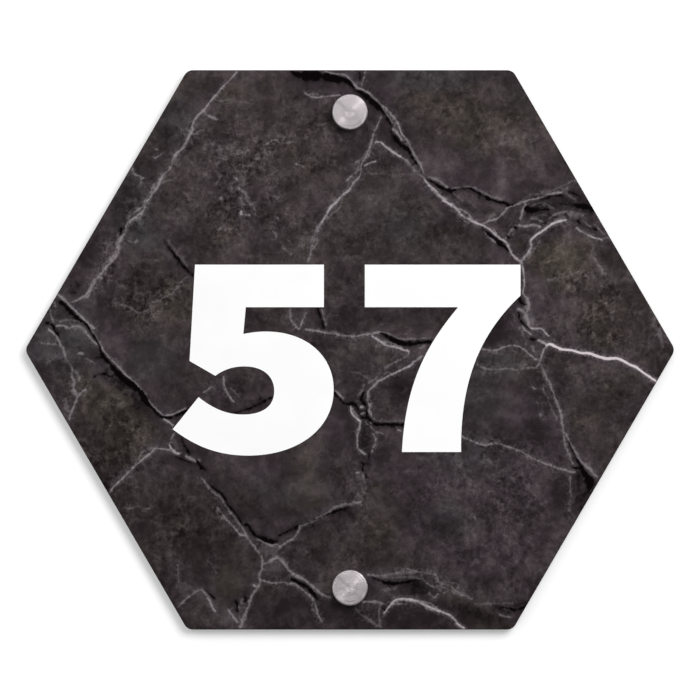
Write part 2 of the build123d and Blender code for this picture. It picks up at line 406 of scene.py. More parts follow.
# Pale veins: brightness, half width in pixels (or 0 where each point has its own), points
veins = {
    "westTop": (.56, 0, [
        (238, 70.7, .8), (231, 79, .9), (223.5, 86, .9), (213, 98, .9), (204.5, 109, 1), (199, 114.5, 1)
    ]),
    "west": (.5, 0, [
        (204.5, 109, .9), (197.5, 116, 1.2), (193, 123, 1.3), (191, 132, 1.9), (184, 146, 1.6), (176, 154, 1.3),
        (173, 159.5, 1.2), (171, 167, 1.1), (163, 176, 1.2), (158.5, 185, 1.4), (151.5, 195, 1.3), (147, 201.5, 1.3),
        (143, 211, 1.1), (135, 217.5, 1.4), (127, 224.5, 1.6), (125.5, 231.5, 1.4), (121, 238.5, 1.3), (118, 246, 1),
        (118, 253.5, 1.2), (112, 260.5, 1.6), (105.5, 268, 1.6), (101, 274.5, 1.5), (95, 280.5, 1.8),
        (92, 286.5, 1.9), (87, 294, 1.4), (78, 299.5, 1), (72, 302, .7)
    ]),
    "westStrandE": (.12, .8, [(90, 272), (98, 264), (110, 256), (120, 250)]),
    "westStrandF": (.22, .8, [(94, 278), (102, 268), (108, 262)]),
    "westStrandG": (.20, .7, [(102, 244), (110, 243), (118, 240.5)]),
    "westStrandH": (.36, .8, [(127, 219), (134, 212), (142, 207), (149, 203)]),
    "westStrandI": (.3, .7, [(160, 184), (167, 181), (176, 178)]),
    "westStrandJ": (.32, .7, [(194, 134), (199, 131), (204, 130)]),
    "westStrandK": (.34, .9, [(129, 241), (134, 242.5), (138, 240)]),
    "northWestHair": (.24, .7, [(216, 100), (228, 101), (240, 101.5), (252, 104)]),
    "mottleG": (.14, 1, [(215, 150), (219, 149.8), (223.5, 148.8)]),
    "mottleH": (.39, 1, [(265.6, 145), (270, 142), (273.7, 139.6), (277.5, 141)]),
    "mottleI": (.7, 1.7, [(241, 212.4), (241.3, 214)]),
    "mottleJ": (.28, 1, [(272.5, 231), (276, 234.5), (276, 239)]),
    "mottleK": (.38, 1.2, [(220.5, 198.7), (221.5, 198.8)]),
    "mottleL": (.33, 1.4, [(277, 217.3), (278, 217.6)]),
    "westStrandA": (.3, .8, [(134.8, 211.5), (127, 219)]),
    "westStrandB": (.35, .9, [(102.7, 274), (99.6, 280), (95, 289)]),
    "westStrandC": (.14, .8, [(106.5, 255), (115, 251)]),
    "westStrandD": (.3, .8, [(118, 233), (118, 240)]),
    "westBranch": (.42, 1.1, [(204.5, 112), (208, 116), (217.5, 119.5)]),
    "westFork": (.4, .9, [(131.7, 168), (134.8, 174), (143, 177.6)]),
    "westForkLow": (.33, .8, [(141, 177), (141, 182.5)]),
    "westTick": (.42, 1.1, [(154.7, 158), (161.6, 154)]),
    "mottleA": (.36, .9, [(155, 148.5), (157, 149.5)]),
    "mottleM": (.22, 1.1, [(212, 143.5), (214, 143.7)]),
    "mottleN": (.21, .9, [(238.7, 149), (242.5, 153.5), (248.7, 150)]),
    "mottleO": (.21, 1, [(242.5, 154), (242.6, 158)]),
    "mottleP": (.19, 1.3, [(265.5, 147), (266, 152), (269.5, 157)]),
    "mottleQ": (.26, 1.1, [(278, 142.5), (284, 143), (291, 142.3)]),
    "mottleR": (.26, 1.3, [(250, 165), (253.4, 162.5)]),
    "mottleS": (.22, 1.1, [(257, 158.5), (258, 159)]),
    "mottleT": (.21, 1.1, [(245, 171.5), (245, 177)]),
    "mottleU": (.24, 1, [(231, 191), (232, 184.5), (236, 180)]),
    "mottleV": (.31, 1.4, [(236.5, 188.7), (241, 189.6), (245, 193.7), (246.8, 197.5)]),
    "mottleW": (.28, 1, [(247.5, 201), (252.5, 205)]),
    "mottleX": (.26, .9, [(255.6, 210), (255.2, 216)]),
    "mottleY": (.24, 1.6, [(274.5, 196), (278, 197.5)]),
    "mottleZ": (.19, 1.3, [(223, 227), (226, 231)]),
    "mottleB": (.46, 1.4, [(236, 178.3), (237, 178.9)]),
    "mottleC": (.24, 1.1, [(239.5, 197.5), (240.5, 198)]),
    "mottleD": (.21, .9, [(240.5, 203.5), (243.5, 204.5)]),
    "mottleE": (.44, 1, [(242, 214.4), (249.4, 214.8)]),
    "mottleF": (.28, .8, [(223.6, 227), (215, 231)]),
    "besideCrack": (.30, 1, [(188.4, 276), (182, 281), (177.5, 287), (172, 293), (165, 297), (157, 301)]),
    "leftOfFiveRim": (.22, 1.4, [(168, 240.5), (176.5, 252), (182, 258.5), (187.5, 266)]),
    "northRim": (.5, 0, [
        (324, 71, .6), (334, 73.8, .8), (345, 75, .8), (351.5, 81.5, 1.2), (357, 87.5, 1.5), (361, 89, 1),
        (366, 91, 1.3), (372.5, 96, 1.4), (380, 104.5, 1.4), (386, 109, 1.4), (392.5, 116, 1.4), (397.5, 123, 1.4),
        (401, 133, 1.3), (408.5, 142.5, 1.3), (412, 150, 1.3), (416.5, 158, 1.2), (420.5, 165.5, 1), (423.5, 173, .8)
    ]),
    "northGlint": (.56, 1.6, [(393, 129), (398, 134), (402, 140)]),
    "northHair": (.34, .7, [(364.7, 71), (364, 78.5), (361.6, 84.5)]),
    "northUnder": (.5, .8, [(305, 93), (309, 96), (315.7, 97.5), (325, 96.7), (334, 95.5), (340, 95)]),
    "diagonalTop": (.64, 0, [
        (375.5, 142, .5), (381, 142.4, .9), (384.6, 145.7, 1.2), (390.7, 150.3, 1.4), (396, 154, 1.3),
        (402, 157.5, .9)
    ]),
    "diagonalMiddle": (.38, .9, [(402, 157.5), (408, 162), (413, 168), (418, 173.5), (424, 178)]),
    "diagonalBlob": (.80, 1.7, [(443.5, 200.5), (447.5, 202.3), (451.5, 205)]),
    "diagonalFray": (.50, 1.6, [(432, 189), (437, 194), (442, 199)]),
    "diagonalStrandA": (.42, .8, [(459, 208.5), (464, 211), (467.5, 213.5), (471, 217), (474, 221)]),
    "diagonalStrandB": (.34, .8, [(456.7, 211.7), (459.4, 216), (463.9, 220.6), (469.4, 223.2)]),
    "diagonalSoft": (.20, 2.2, [(461, 212), (467, 218)]),
    "diagonal": (.70, 0, [
        (424.4, 179.4, .8), (429, 185.5, 1.2), (435, 190, 1.2), (441, 197, 1.4), (449, 203, 1.6), (455, 207.7, 1.4),
        (459.6, 213, 1.5), (465.7, 217.7, 1.6), (469, 219.2, 1.5), (476.7, 223, 1.3), (484.4, 226, 1.1),
        (492, 231.4, 1), (499.7, 238.3, 1.1), (505.8, 242.2, 1.2), (509.6, 249.8, 1.2), (513.5, 256, 1.3),
        (519.6, 261, 1.5)
    ]),
    "northPatch": (.13, 1.6, [(395, 124), (399, 131), (403, 138)]),
    "southClump": (.10, 1.6, [(362, 472), (360.5, 482), (363, 492), (359, 500)]),
    "southClumpHair": (.20, .6, [(365, 474), (363, 480), (366, 486), (363.5, 494)]),
    "eastRim": (.42, 1.3, [(429, 177), (439.7, 181.7), (447.3, 187.8)]),
    "cap": (.47, 0, [
        (381.5, 116.6, .5), (377, 126, .8), (374, 132, .9), (371.6, 141, .9), (368.5, 150.3, 1), (365.5, 158, 1.3),
        (362, 162, 1.3), (361, 167, .9), (360, 175, 1), (354, 182.5, 1.3), (349.4, 190, 1.2)
    ]),
    "capLow": (.66, 0, [
        (349.4, 190, 1.2), (342.5, 195.5, 1.5), (335.6, 202.4, 1.4), (329.5, 208.5, 1.6), (325.7, 216, 1.5),
        (321.8, 222.3, 1.3)
    ]),
    "capTail": (.42, 0, [
        (321.8, 222.3, 1.3), (317.2, 228.4, 1.5), (315, 234.5, 1.3), (314, 242, 1.2), (311, 248.5, .9),
        (310.4, 254.5, .8), (308, 260.5, .8)
    ]),
    "capStrand": (.44, .8, [(358.6, 170), (352.5, 175), (346.3, 181)]),
    "capBranch": (.58, .8, [(364.7, 165.6), (370.8, 162.6), (375.4, 161.5)]),
    "capLevel": (.18, .6, [(372, 173.5), (393, 174.5), (410, 174), (424, 174.5)]),
    "capDash": (.38, 1, [(296, 164.3), (300, 165), (303.7, 166.2)]),
    "speckA": (.28, 1.6, [(298.5, 246), (303, 246.5)]),
    "speckC": (.31, 1, [(287.5, 240.4), (288.5, 240.8)]),
    "speckD": (.31, 1.3, [(282.5, 246), (286, 250.5), (292, 255)]),
    "east": (.47, 0, [
        (507.3, 207.7, .8), (513.5, 205.4, 1), (521, 203, 1), (528.8, 200, .9), (538, 198.5, .9), (545.6, 195.5, 1),
        (553.3, 193, 1.2), (561, 192.4, 1), (567, 188.6, .7)
    ]),
    "eastBranch": (.28, .7, [(544, 195.5), (551.7, 190), (559.4, 187), (568.6, 183), (576, 180)]),
    "eastFoot": (.50, 1.4, [(507, 208), (503.5, 213), (498, 217.7), (492, 220), (486, 222.3)]),
    "eastDrop": (.44, 1.3, [(525.7, 204.7), (522.7, 210.8), (520.4, 219)]),
    "eastLevel": (.46, 1.5, [(519, 225), (525, 226.3), (533, 225), (540, 226.5)]),
    "eastHair": (.36, .8, [(505.8, 238), (510.4, 231.4), (515.8, 226)]),
    "eastPale": (.34, 0, [(550, 217.5, .8), (555, 214.8, 1.1), (560, 213, 1.1), (568, 211.7, 1.1), (574, 212, .8)]),
    "bandStrokeB": (.28, .8, [(540, 206.5), (546, 204.5), (551, 206)]),
    "bandStrokeD": (.13, .7, [(560, 207.5), (567, 206.5), (573, 208.5)]),
    "bandStrokeF": (.3, .6, [(532, 217), (540, 214.5), (547, 215.5)]),
    "bandSwirlA": (.3, 1.1, [(550, 207.6), (554.5, 208.3)]),
    "bandSwirlB": (.26, 1.1, [(566.7, 194.4), (571, 197), (575.6, 199.6)]),
    "bandSwirlC": (.24, .9, [(532, 206.2), (536, 203.5), (541, 202.3), (547, 204)]),
    "eastPaleSoft": (.29, 2.8, [(569, 214), (577, 215.5)]),
    "eastPaleDot": (.44, 1.2, [(582, 215), (583.5, 215.3)]),
    "bandBlotch": (.18, 2.8, [(563, 188), (566, 192)]),
    "sevenRightTail": (.2, 1.2, [(603, 239), (609, 236.7)]),
    "fanA": (.32, 1, [(583.3, 220.5), (587, 224.5), (591, 226.5)]),
    "fanB": (.34, 1, [(594.4, 224.4), (600, 230), (604.4, 234)]),
    "fanC": (.2, 1.2, [(571, 217), (577, 219)]),
    "eastSmall": (.33, 1, [(531, 219), (536.5, 218), (540, 220), (542.5, 222.5)]),
    "sevenTop": (.78, 0, [
        (530.5, 241, .9), (533, 237.8, 1.4), (539, 233.3, 1.2), (545.5, 228.9, 1.2), (553.3, 223.3, 1.3),
        (561, 221, 1.2), (566, 219.8, .9)
    ]),
    "sevenTopFoot": (.58, 0, [
        (520.4, 262.8, 1.2), (524, 258, 1.3), (529, 251.5, 1.3), (531, 246, 1.3), (530.5, 241, 1.5)
    ]),
    "sevenInner": (.24, .9, [(539.5, 242), (533.4, 251), (525.7, 259)]),
    "sevenRight": (.44, 1.1, [(576, 227.6), (582.4, 232), (590, 236)]),
    "sevenRightEnd": (.68, .9, [(588, 235.5), (596, 238.3), (602.5, 239.8)]),
    "blotchA": (.16, 1.4, [(588, 239), (592, 243.3), (593.3, 249), (591, 255.6), (591, 262)]),
    "blotchB": (.26, 0, [(593.3, 256.7, .9), (597.8, 263.3, 1), (601.5, 269, 1.2), (603, 273, 2), (606.5, 274, 1.2)]),
    "sevenArc": (.26, .8, [
        (548, 279.5), (558.3, 278.3), (565.5, 276.5), (570, 275.2), (576.7, 271), (582, 274.4), (586.7, 276),
        (594, 275.6)
    ]),
    "besideSeven": (.58, 1, [(521, 262), (522.7, 267), (524, 276), (524.2, 285), (522.7, 294)]),
    "besideSevenLow": (.46, 0, [
        (523.5, 294, .9), (527.5, 299, 1.3), (529, 304, 1.6), (527.5, 310, 1.8), (526.5, 314, 2.2), (527.5, 319, 1.8),
        (528.5, 324, 1.6), (530.3, 328, 1.3)
    ]),
    "besideSevenTwin": (.42, 1.4, [(518, 309), (522.5, 310.8), (526, 313)]),
    "besideSevenSoft": (.26, 2.6, [(530, 311), (531.5, 319), (532.5, 325)]),
    "besideSevenEnd": (.66, 0, [
        (530.3, 328, 1), (535, 328.9, 1.2), (541.5, 328.7, 1.1), (544.5, 332, .9), (548.5, 336, .7)
    ]),
    "sevenKnotA": (.44, 1, [(522.5, 326.5), (524.5, 329.5), (528, 332), (531, 334.3)]),
    "sevenKnotB": (.26, .9, [(519.6, 328), (524.2, 337), (525.7, 344.8)]),
    "sevenKnotC": (.54, 1.4, [(538.3, 340), (543.3, 342.5), (546.5, 344.3)]),
    "sevenKnotD": (.28, 2.2, [(532, 346), (533, 349)]),
    "sevenKnotE": (.18, 2.4, [(550, 336), (554, 340)]),
    "sevenShade": (.16, 1, [(514.6, 313), (514.4, 326)]),
    "eastLine": (1.0, 0, [
        (546.5, 345, .8), (550.5, 344.2, 1.6), (556.3, 347, 1.5), (562.5, 349.4, 1.4), (571.6, 350.2, 1.3),
        (580.8, 353, 1.4), (588.5, 353.2, 1.4), (597.7, 356.3, 1.5), (606.8, 358.6, 1.7), (616, 358.3, 1.5),
        (623.7, 361, 1.4), (629.8, 364.7, 1.4), (636, 367, 1.4), (642, 371.6, 1.2), (649.7, 377, 1.2), (656, 381, 1.2)
    ]),
    "eastLineTick": (.3, .7, [(576, 348.6), (581, 344.8)]),
    "eastLineFall": (.46, 1, [
        (549, 345.5), (544.5, 348.5), (542.5, 353), (541, 358.6), (538.5, 364.7), (535.7, 367.8)
    ]),
    "eastArc": (.45, 1, [
        (480.6, 348.6), (489, 350.2), (498.2, 349.4), (505.8, 346.6), (515, 345.6), (522.7, 348.6), (530.3, 354.8),
        (536.4, 359.4)
    ]),
    "eastArcLow": (.3, .8, [
        (476.7, 364.7), (484.4, 368.5), (496.6, 369.6), (507.3, 368.5), (518, 370), (525.7, 367.8), (535, 367.8)
    ]),
    "farEast": (.4, 0, [
        (541, 364.7, .9), (544, 372.4, 1), (548.7, 381.5, 1.1), (553.3, 392.3, 1.1), (555.6, 400, 1.2),
        (559.4, 409, 1.2), (561.7, 416, 1.2), (561.7, 421.3, 1.2), (564, 430.5, 1.3), (567.8, 438.2, 1.3),
        (571.6, 445.8, 1.3), (576.2, 453.5, 1.4), (582.2, 462.8, 1.4), (588.3, 467.4, 1.5), (592.9, 473.5, 1.3),
        (597.5, 476.5, 1)
    ]),
    "farEastTwin": (.25, .9, [(545.6, 392.3), (549.4, 403), (554, 413.7), (556.3, 419)]),
    "farEastTwinLow": (.36, .9, [(562.5, 429), (565.5, 444.3), (569.9, 456.6), (573, 464.3)]),
    "crackRimTwin": (.34, 1.3, [
        (376, 100), (383, 108.5), (391, 120), (398, 131), (405, 142), (411, 152), (416, 161), (421, 170)
    ]),
    "farEastSpot": (.42, 1.5, [(532.5, 387.5), (534, 388.5)]),
    "farEastSpotB": (.34, 1.3, [(539.5, 414.5), (541, 416)]),
    "farEastSpotC": (.34, .9, [(542.5, 387), (544, 391), (545.5, 396)]),
    "farEastSpotD": (.28, 1, [(536, 401), (537.5, 403)]),
    "foot": (.43, 1, [
        (462, 436.3), (469, 439.5), (476.5, 443), (485.8, 445), (494.5, 443), (501, 444.2), (510, 447.2),
        (520.9, 451.3), (530, 456.8), (537.8, 460.5), (547, 464.3), (556, 467.4), (563.8, 469.6), (570, 472),
        (574.5, 472)
    ]),
    "farEastTail": (.32, .9, [(570, 477), (570.3, 486), (570.2, 497), (568.4, 508), (571, 513), (574, 517)]),
    "edgeBlotchA": (.22, 2.4, [(654.5, 319), (656, 326)]),
    "edgeBlotchB": (.24, 2.6, [(658.5, 329), (660, 336)]),
    "edgeBlotchC": (.2, 1.8, [(662, 341), (663, 348)]),
    "westRim": (.5, 1.3, [
        (58, 294.5), (64.3, 299.5), (70.5, 305.8), (75.5, 310.8), (81.8, 317), (86.8, 322), (94.3, 328.5)
    ]),
    "westRimMiddle": (.30, .7, [(86, 323.5), (92, 330.5), (96.8, 337.5), (101, 344)]),
    "westRimLow": (.5, .9, [
        (100, 342.5), (103.5, 350.5), (108.8, 357), (118, 366.2), (125.6, 374.7), (133.3, 380.8), (141, 389.2),
        (147, 398.4), (153.2, 406), (159.3, 412), (164, 416)
    ]),
    "westInner": (.46, 0, [
        (54, 327, .8), (58, 325.8, 1.1), (64.3, 326, 1.1), (68, 327.6, 1.2), (74.3, 326, 1), (80.5, 327, 1.2),
        (84.3, 329.8, 1.3), (88, 335, 1), (93, 340.8, 1), (96.5, 344.5, .8)
    ]),
    "tipUpper": (.52, 0, [
        (48.5, 329, .9), (54.3, 333.9, 1.3), (58, 339.5, 1.2), (60.5, 344.5, 1.4), (63.6, 350, 1.7), (65.5, 356, 1)
    ]),
    "tipUpperTail": (.27, .9, [(65.5, 356), (68, 362), (71, 366), (75, 370.5), (78, 374.5), (79.3, 378.5)]),
    "tipTickA": (.42, 1.1, [(49.3, 305.8), (50.5, 311), (51.8, 317), (53, 321)]),
    "tipTickE": (.4, 1, [(54.6, 302.5), (55, 306)]),
    "tipTickB": (.26, 1, [(60, 321.5), (69, 320), (80, 321.5)]),
    "tipTickC": (.4, 1, [(41.8, 343), (49.3, 343.9), (55.5, 344.5)]),
    "tipTickF": (.05, .7, [(37, 339), (46, 338), (55, 338.5)]),
    "tipTickD": (.19, .9, [(46.8, 363.3), (53, 358.9), (58.6, 355.8)]),
    "tipHair": (.22, .9, [(88, 359.5), (92, 361.5), (95.5, 364.5)]),
    "tipSmear": (.22, 1.8, [(66.5, 398), (66, 405), (67.5, 411)]),
    "tipSpot": (.42, 1.5, [(78.5, 353.2), (82.5, 353.6)]),
    "tipLower": (.42, 0, [
        (71.8, 368, .8), (72.4, 376, 1), (74.3, 384, 1.6), (73.7, 389, 1.3), (76, 394.5, 1.4), (76.8, 398.3, 1.6),
        (74.3, 405.8, 1.3), (70.7, 413.3, 1.4), (69.5, 419, 1.4)
    ]),
    "tipLowerArm": (.42, 1, [(86, 389.5), (81.8, 392), (78, 397), (76.5, 400)]),
    "westArmRim": (.55, .9, [(165.4, 416), (174.6, 413.7), (185.3, 408.3)]),
    "westEnd": (.58, 1.2, [(164, 419), (168.5, 422), (173, 425.2)]),
    "hairA": (.26, .9, [(113.4, 305), (127, 306.5), (139, 312.7), (150, 309)]),
    "hairB": (.22, .8, [(150, 305), (153, 317)]),
    "counterHair": (.45, 1.3, [(203.7, 392.3), (211.3, 387)]),
    "counter": (.5, 1, [(223.6, 377), (225, 387.7), (229.7, 396.8), (234.3, 402.2)]),
    "counterTwin": (.3, .8, [(231.5, 389), (239, 397)]),
    "wedgeHairA": (.24, .8, [(453.3, 193.3), (458.3, 197.2), (463, 201)]),
    "wedgeHairB": (.16, .8, [(470, 201.5), (475, 207)]),
    "wedgeSoft": (.26, 2.2, [(489, 217.5), (493.5, 214.5)]),
    "underDiagonalRim": (.50, 1.1, [(486.5, 233), (491, 238), (495, 242.5)]),
    "eastUpperRim": (.31, 1.1, [
        (452, 189), (465, 186.6), (472, 187.4), (480.6, 190.7), (487.2, 194.6), (494, 197.4), (502.8, 199.2)
    ]),
    "eastTopBlotch": (.15, 1.1, [(522.5, 199.5), (526.5, 197), (530, 197)]),
    "eastGlint": (.42, 1.2, [(552, 194), (559, 192.4)]),
    "eastHairTwin": (.16, .8, [(513.9, 234), (514.5, 229), (514, 226)]),
    "levelTail": (.20, .9, [(533, 225.5), (537.5, 227.5), (541, 231)]),
    "underBarA": (.38, 1.1, [(290.5, 309.6), (291.2, 320.3), (297.4, 328)]),
    "underBarB": (.45, .9, [(306.5, 312.7), (302, 321.8), (299, 329.5)]),
    "underBarC": (.36, .9, [(321.8, 309.6), (326.4, 325)]),
    "centreLine": (.46, 1.2, [
        (306.5, 329.5), (312.7, 330.3), (321.8, 331.8), (334, 334), (343.3, 335.6), (352.5, 336.4), (363.2, 335),
        (372.4, 333.3), (380, 331.8)
    ]),
    "wedgeTop": (.34, 1, [(383, 331.8), (392.3, 335), (400, 338.7), (413.7, 339), (429, 338)]),
    "wedgeUnder": (.62, 1.1, [
        (372.4, 336.4), (378.2, 340), (381.5, 342.2), (384.8, 344.7), (389.5, 346), (394.8, 346.8), (399, 348.4),
        (403.2, 350), (406.5, 350.4), (409, 351.4)
    ]),
    "wedgeFall": (.3, .8, [
        (408.8, 354), (404, 358), (398.5, 360.5), (393, 363.3), (388, 365.8), (384, 369), (381, 372), (378.5, 375),
        (376.5, 378)
    ]),
    "wedgeSpots": (.35, 1.5, [(424, 346), (420, 349)]),
    "wedgeEnd": (.45, 1, [(423, 356), (416.7, 360)]),
    "loopTop": (.62, 0, [
        (413.5, 362, 1.1), (410.5, 365.3, 1.4), (405, 368.3, 1), (399, 371, 1.1), (393, 374, 1.2), (388, 376.3, 1),
        (383.5, 378.8, 1), (379.5, 380.6, 1.2), (376.8, 382, 1.4)
    ]),
    "loopSide": (.44, 0, [
        (376.8, 382, 1.4), (374, 386, 1), (370.5, 389, 1), (368, 392, 1.1), (367.6, 396, .9), (367.2, 400, .9),
        (369, 404, 1), (370, 407, 1.1), (368.7, 410, 1.3), (370.3, 413.5, 1.5), (372.3, 417, 1.1), (375, 420, .9)
    ]),
    "loopFoot": (.21, 1, [(375, 420), (383, 420.8), (392, 420.9), (403, 421.2)]),
    "loopTwin": (.28, 1.2, [(363.7, 385.5), (362.8, 389.5), (361, 393), (358.8, 394.6)]),
    "loopTwinTop": (.3, 1.1, [(376, 379), (372.8, 380), (370, 381.3), (368.3, 383.5)]),
    "loopHair": (.23, 1.2, [(353, 371.5), (358, 372.8), (362, 374.6), (366.5, 377.5)]),
    "middleRim": (.5, .9, [(335.6, 390.7), (343.3, 398.4)]),
    "middleGlint": (.74, 0, [
        (350.8, 406.5, .8), (351.2, 410, 1.3), (352.3, 414, 1.4), (355.5, 417.4, 1.1), (360.3, 421.3, 1)
    ]),
    "middleGlintTwin": (.46, 1.1, [(352.6, 408.5), (354.8, 412.5), (357.4, 415.6)]),
    "blobB": (.42, 1.3, [(361, 414), (364, 413)]),
    "blobC": (.48, 1, [(370.2, 421.3), (371, 423)]),
    "knotSpotA": (.6, 1.6, [(361, 407), (362.5, 406.8)]),
    "knotSpotB": (.3, 1.1, [(355, 401), (358.3, 401.2)]),
    "knotSpotC": (.42, 1.4, [(356.6, 472.6), (358, 472.4)]),
    "knotSpotD": (.3, 1.3, [(365.8, 421), (366.6, 424.5)]),
    "knotSpotE": (.38, 1, [(362.2, 473), (363.8, 478.8)]),
    "loopLeft": (.5, 0, [
        (360.7, 422, 1.1), (359.8, 425.5, 1), (358.6, 430, 1.2), (357.8, 435, 1.1), (357.5, 440, 1),
        (357.4, 444.7, 1), (357.3, 447.4, 1.2), (359.4, 449.7, 1.1), (362.3, 452, 1), (365.3, 454.5, .8)
    ]),
    "loopRight": (.32, 0, [
        (370.3, 425.5, .8), (372.3, 428.8, 1.2), (374.8, 431.3, 1.3), (379, 432.6, 1.1), (382.5, 433.8, .8)
    ]),
    "loopRightFall": (.42, 0, [
        (373, 434, .8), (375.3, 438, .8), (375.4, 441.5, .8), (374.4, 445.5, .9), (372.5, 449, 1.2), (371.5, 452.2, 1)
    ]),
    "loopTick": (.5, .9, [(398, 429.8), (401.7, 431.6)]),
    "belowFive": (.48, 1, [
        (109, 494), (113.6, 487.3), (121, 479.6), (127.4, 473.5), (135, 465.8), (142.7, 459), (150.3, 453.6),
        (155, 448.7), (164, 449), (171.7, 450.5)
    ]),
    "belowFiveEnd": (.61, 0, [(169.4, 444.5, .8), (171.7, 449, 1.2), (175.6, 452.8, 1.6), (179.5, 453.6, 1.1)]),
    "belowFiveSoft": (.16, 2.6, [(174, 440), (177, 447)]),
    "belowFiveDot": (.36, 1, [(199, 459.5), (199.5, 460.5)]),
    "belowFiveTick": (.34, 1, [(174.5, 433), (171.9, 438.3), (170.5, 442)]),
    "belowFiveArm": (.5, 0, [(186, 456, 1.2), (191.7, 459.2, 2.4), (195.5, 461, 1.5)]),
    "south": (.38, .9, [
        (201, 478), (205, 482), (209, 488), (212, 491.5), (217, 494.8), (221.7, 498.3), (224.4, 504), (230, 511.7),
        (236, 519.4), (240.6, 525.5), (246, 534), (250, 541), (255, 547.5), (258.8, 552.5), (262.5, 558.8)
    ]),
    "southGlint": (.42, 1.1, [(209, 488.5), (213, 492), (217.5, 495.3), (221.5, 498.3)]),
    "southFall": (.34, 1.4, [(248, 538), (252, 543.5), (257, 550), (261, 556.5)]),
    "southTwin": (.45, 0, [
        (216.7, 506.7, .7), (225, 517.5, 1), (231.9, 525, 1.2), (236.3, 530, 1.2), (241.3, 535, 1.1), (246, 535.8, .8)
    ]),
    "southEnd": (.44, 1.1, [(258, 539.5), (265, 542.6), (270.5, 545.2), (277.5, 544.4)]),
    "southMottle": (.16, 3.8, [(262, 549), (270, 552), (277, 548)]),
    "southRise": (.46, 0, [
        (281, 546, .9), (287.5, 541.9, 1.4), (292.5, 538.8, 1.3), (297.5, 532.5, 1), (300.6, 527.5, 1)
    ]),
    "bandTop": (.36, 1.7, [
        (299, 527), (306.5, 523.2), (315.7, 519.4), (325, 514.8), (334, 508), (341.7, 505.3), (351, 504), (360, 501.8)
    ]),
    "bottom": (.42, 0, [
        (263.5, 563.6, 1), (267.5, 562.3, 1.3), (272.5, 559.4, 1.3), (277.5, 558, 1.3), (282.5, 561, 1.3),
        (287.5, 568.6, 1.2), (292.5, 573.4, 1.3)
    ]),
    "bottomBright": (.42, 0, [
        (292.5, 573.4, 1.4), (297, 576, 2.3), (301, 578, 1.5), (305, 580.4, 1.1), (312.5, 586, 1.3), (317, 590, 1.2),
        (323.4, 595.2, 1), (331, 597.5, .8)
    ]),
    "bottomLevel": (.42, 0, [
        (261, 580, 1.3), (267.5, 581.9, 1.3), (272.5, 583, 1.2), (283.8, 582.5, 1.1), (287.5, 584.2, 1.1),
        (294.5, 583.6, 1), (301, 588.8, 1), (307.5, 593.8, 1.2), (313.8, 600.4, 1.2), (316.3, 607.5, 1.2),
        (319, 616, 1), (321.8, 621, .7)
    ]),
    "bottomFall": (.44, 0, [
        (262.5, 559, 1.1), (262.5, 565, 1.2), (261, 571, 1.1), (259.4, 576, 1.3), (260, 582.5, 1.2),
        (257, 588.8, 1.2), (253.8, 592.8, 1.6), (251, 598, 1.6), (248.8, 605, 1.3), (246, 612.5, 1.8),
        (242.5, 620, 1.9), (240.3, 627.5, 1.9)
    ]),
    "footKnot": (.34, 1.3, [(238, 606.5), (239.8, 608.5)]),
    "bottomBlob": (.6, 1.4, [(253.8, 585.4), (254.6, 586)]),
    "footWest": (.44, 0, [
        (178, 607.4, .8), (185.5, 599.6, 1), (193, 593.8, 1), (200.5, 589.8, 1), (205, 593, 1.2), (208.8, 598.8, 1.3),
        (212.5, 607.5, 1.4), (216, 612.5, 1)
    ]),
    "footMiddle": (.40, 1.2, [(229, 611), (233, 616.5), (237.5, 622)]),
    "footLow": (.28, 1.2, [(232.3, 625), (232.8, 628)]),
    "footKnotTwin": (.28, 1.4, [(242, 599), (242, 603)]),
    "lowWestHair": (.24, .8, [(121, 508.7), (133.5, 508)]),
    "lowWestSpot": (.35, 1, [(147, 508.7), (149, 508.7)]),
    "lowWestDots": (.28, 1.2, [(178, 565), (178.6, 582)]),
    "lowWestHairB": (.22, .7, [(213, 567), (216, 573)]),
    "bottomEastBand": (.38, 1.3, [
        (367.8, 574.5), (377, 576), (386, 575.3), (398.4, 573), (410.6, 571.4), (423, 572.2), (432, 573.7),
        (436.6, 576), (439.7, 582.2), (450, 586), (456.6, 591.3), (464.3, 595.2), (472, 599)
    ]),
    "bottomEastTwin": (.32, .8, [
        (380, 577.6), (398, 577), (419.8, 578.3), (427.5, 583.7), (438.2, 589), (444.3, 593)
    ]),
    "bottomEastMottle": (.23, 2.2, [(384.6, 590), (395.3, 588)]),
    "bottomEastLoop": (.34, 1.5, [(429, 593), (433.6, 597.5), (438, 594.5)]),
    "foot2": (.70, 0, [
        (384.6, 612.8, .8), (389.2, 606.6, 1), (395.3, 600.5, 1.4), (403, 599, 1.4), (413.7, 600.2, 1.3),
        (421.3, 603.6, 1.4), (430.5, 607.4, 1.4), (439.7, 611.2, 1.4), (449, 615, 1.3), (454.2, 619, 1.3),
        (458, 624.2, 1.3), (464, 628, 1.2)
    ]),
    "foot2Under": (.34, .9, [(390.7, 606), (398.4, 603.6), (407.6, 603.6)]),
    "underCap": (.48, 1.6, [(363, 602), (374, 601.7), (383, 603.6)]),
    "underCapFall": (.3, .9, [(355.5, 608), (363, 616), (372.4, 622), (377, 626.5)]),
    "underCapDrop": (.32, .8, [(380, 606), (379, 616), (380, 627)]),
    "lowEastLevel": (.26, 1.3, [(475, 603.6), (487, 603.6), (499.5, 603.6), (512.5, 603.3)]),
    "lowEastSpot": (.25, 1, [(486, 604), (488, 604)]),
    "lowEastShort": (.42, 1, [(499.5, 614.3), (505.6, 616.6), (510.2, 617.3)]),
    "lowEastDot": (.4, 1.4, [(474.5, 517.5), (475.5, 518.5)]),
}

# Veins made of many loose strands
frayed = ("west", "cap", "capTail", "besideSevenLow", "eastRim", "bottomEastBand")

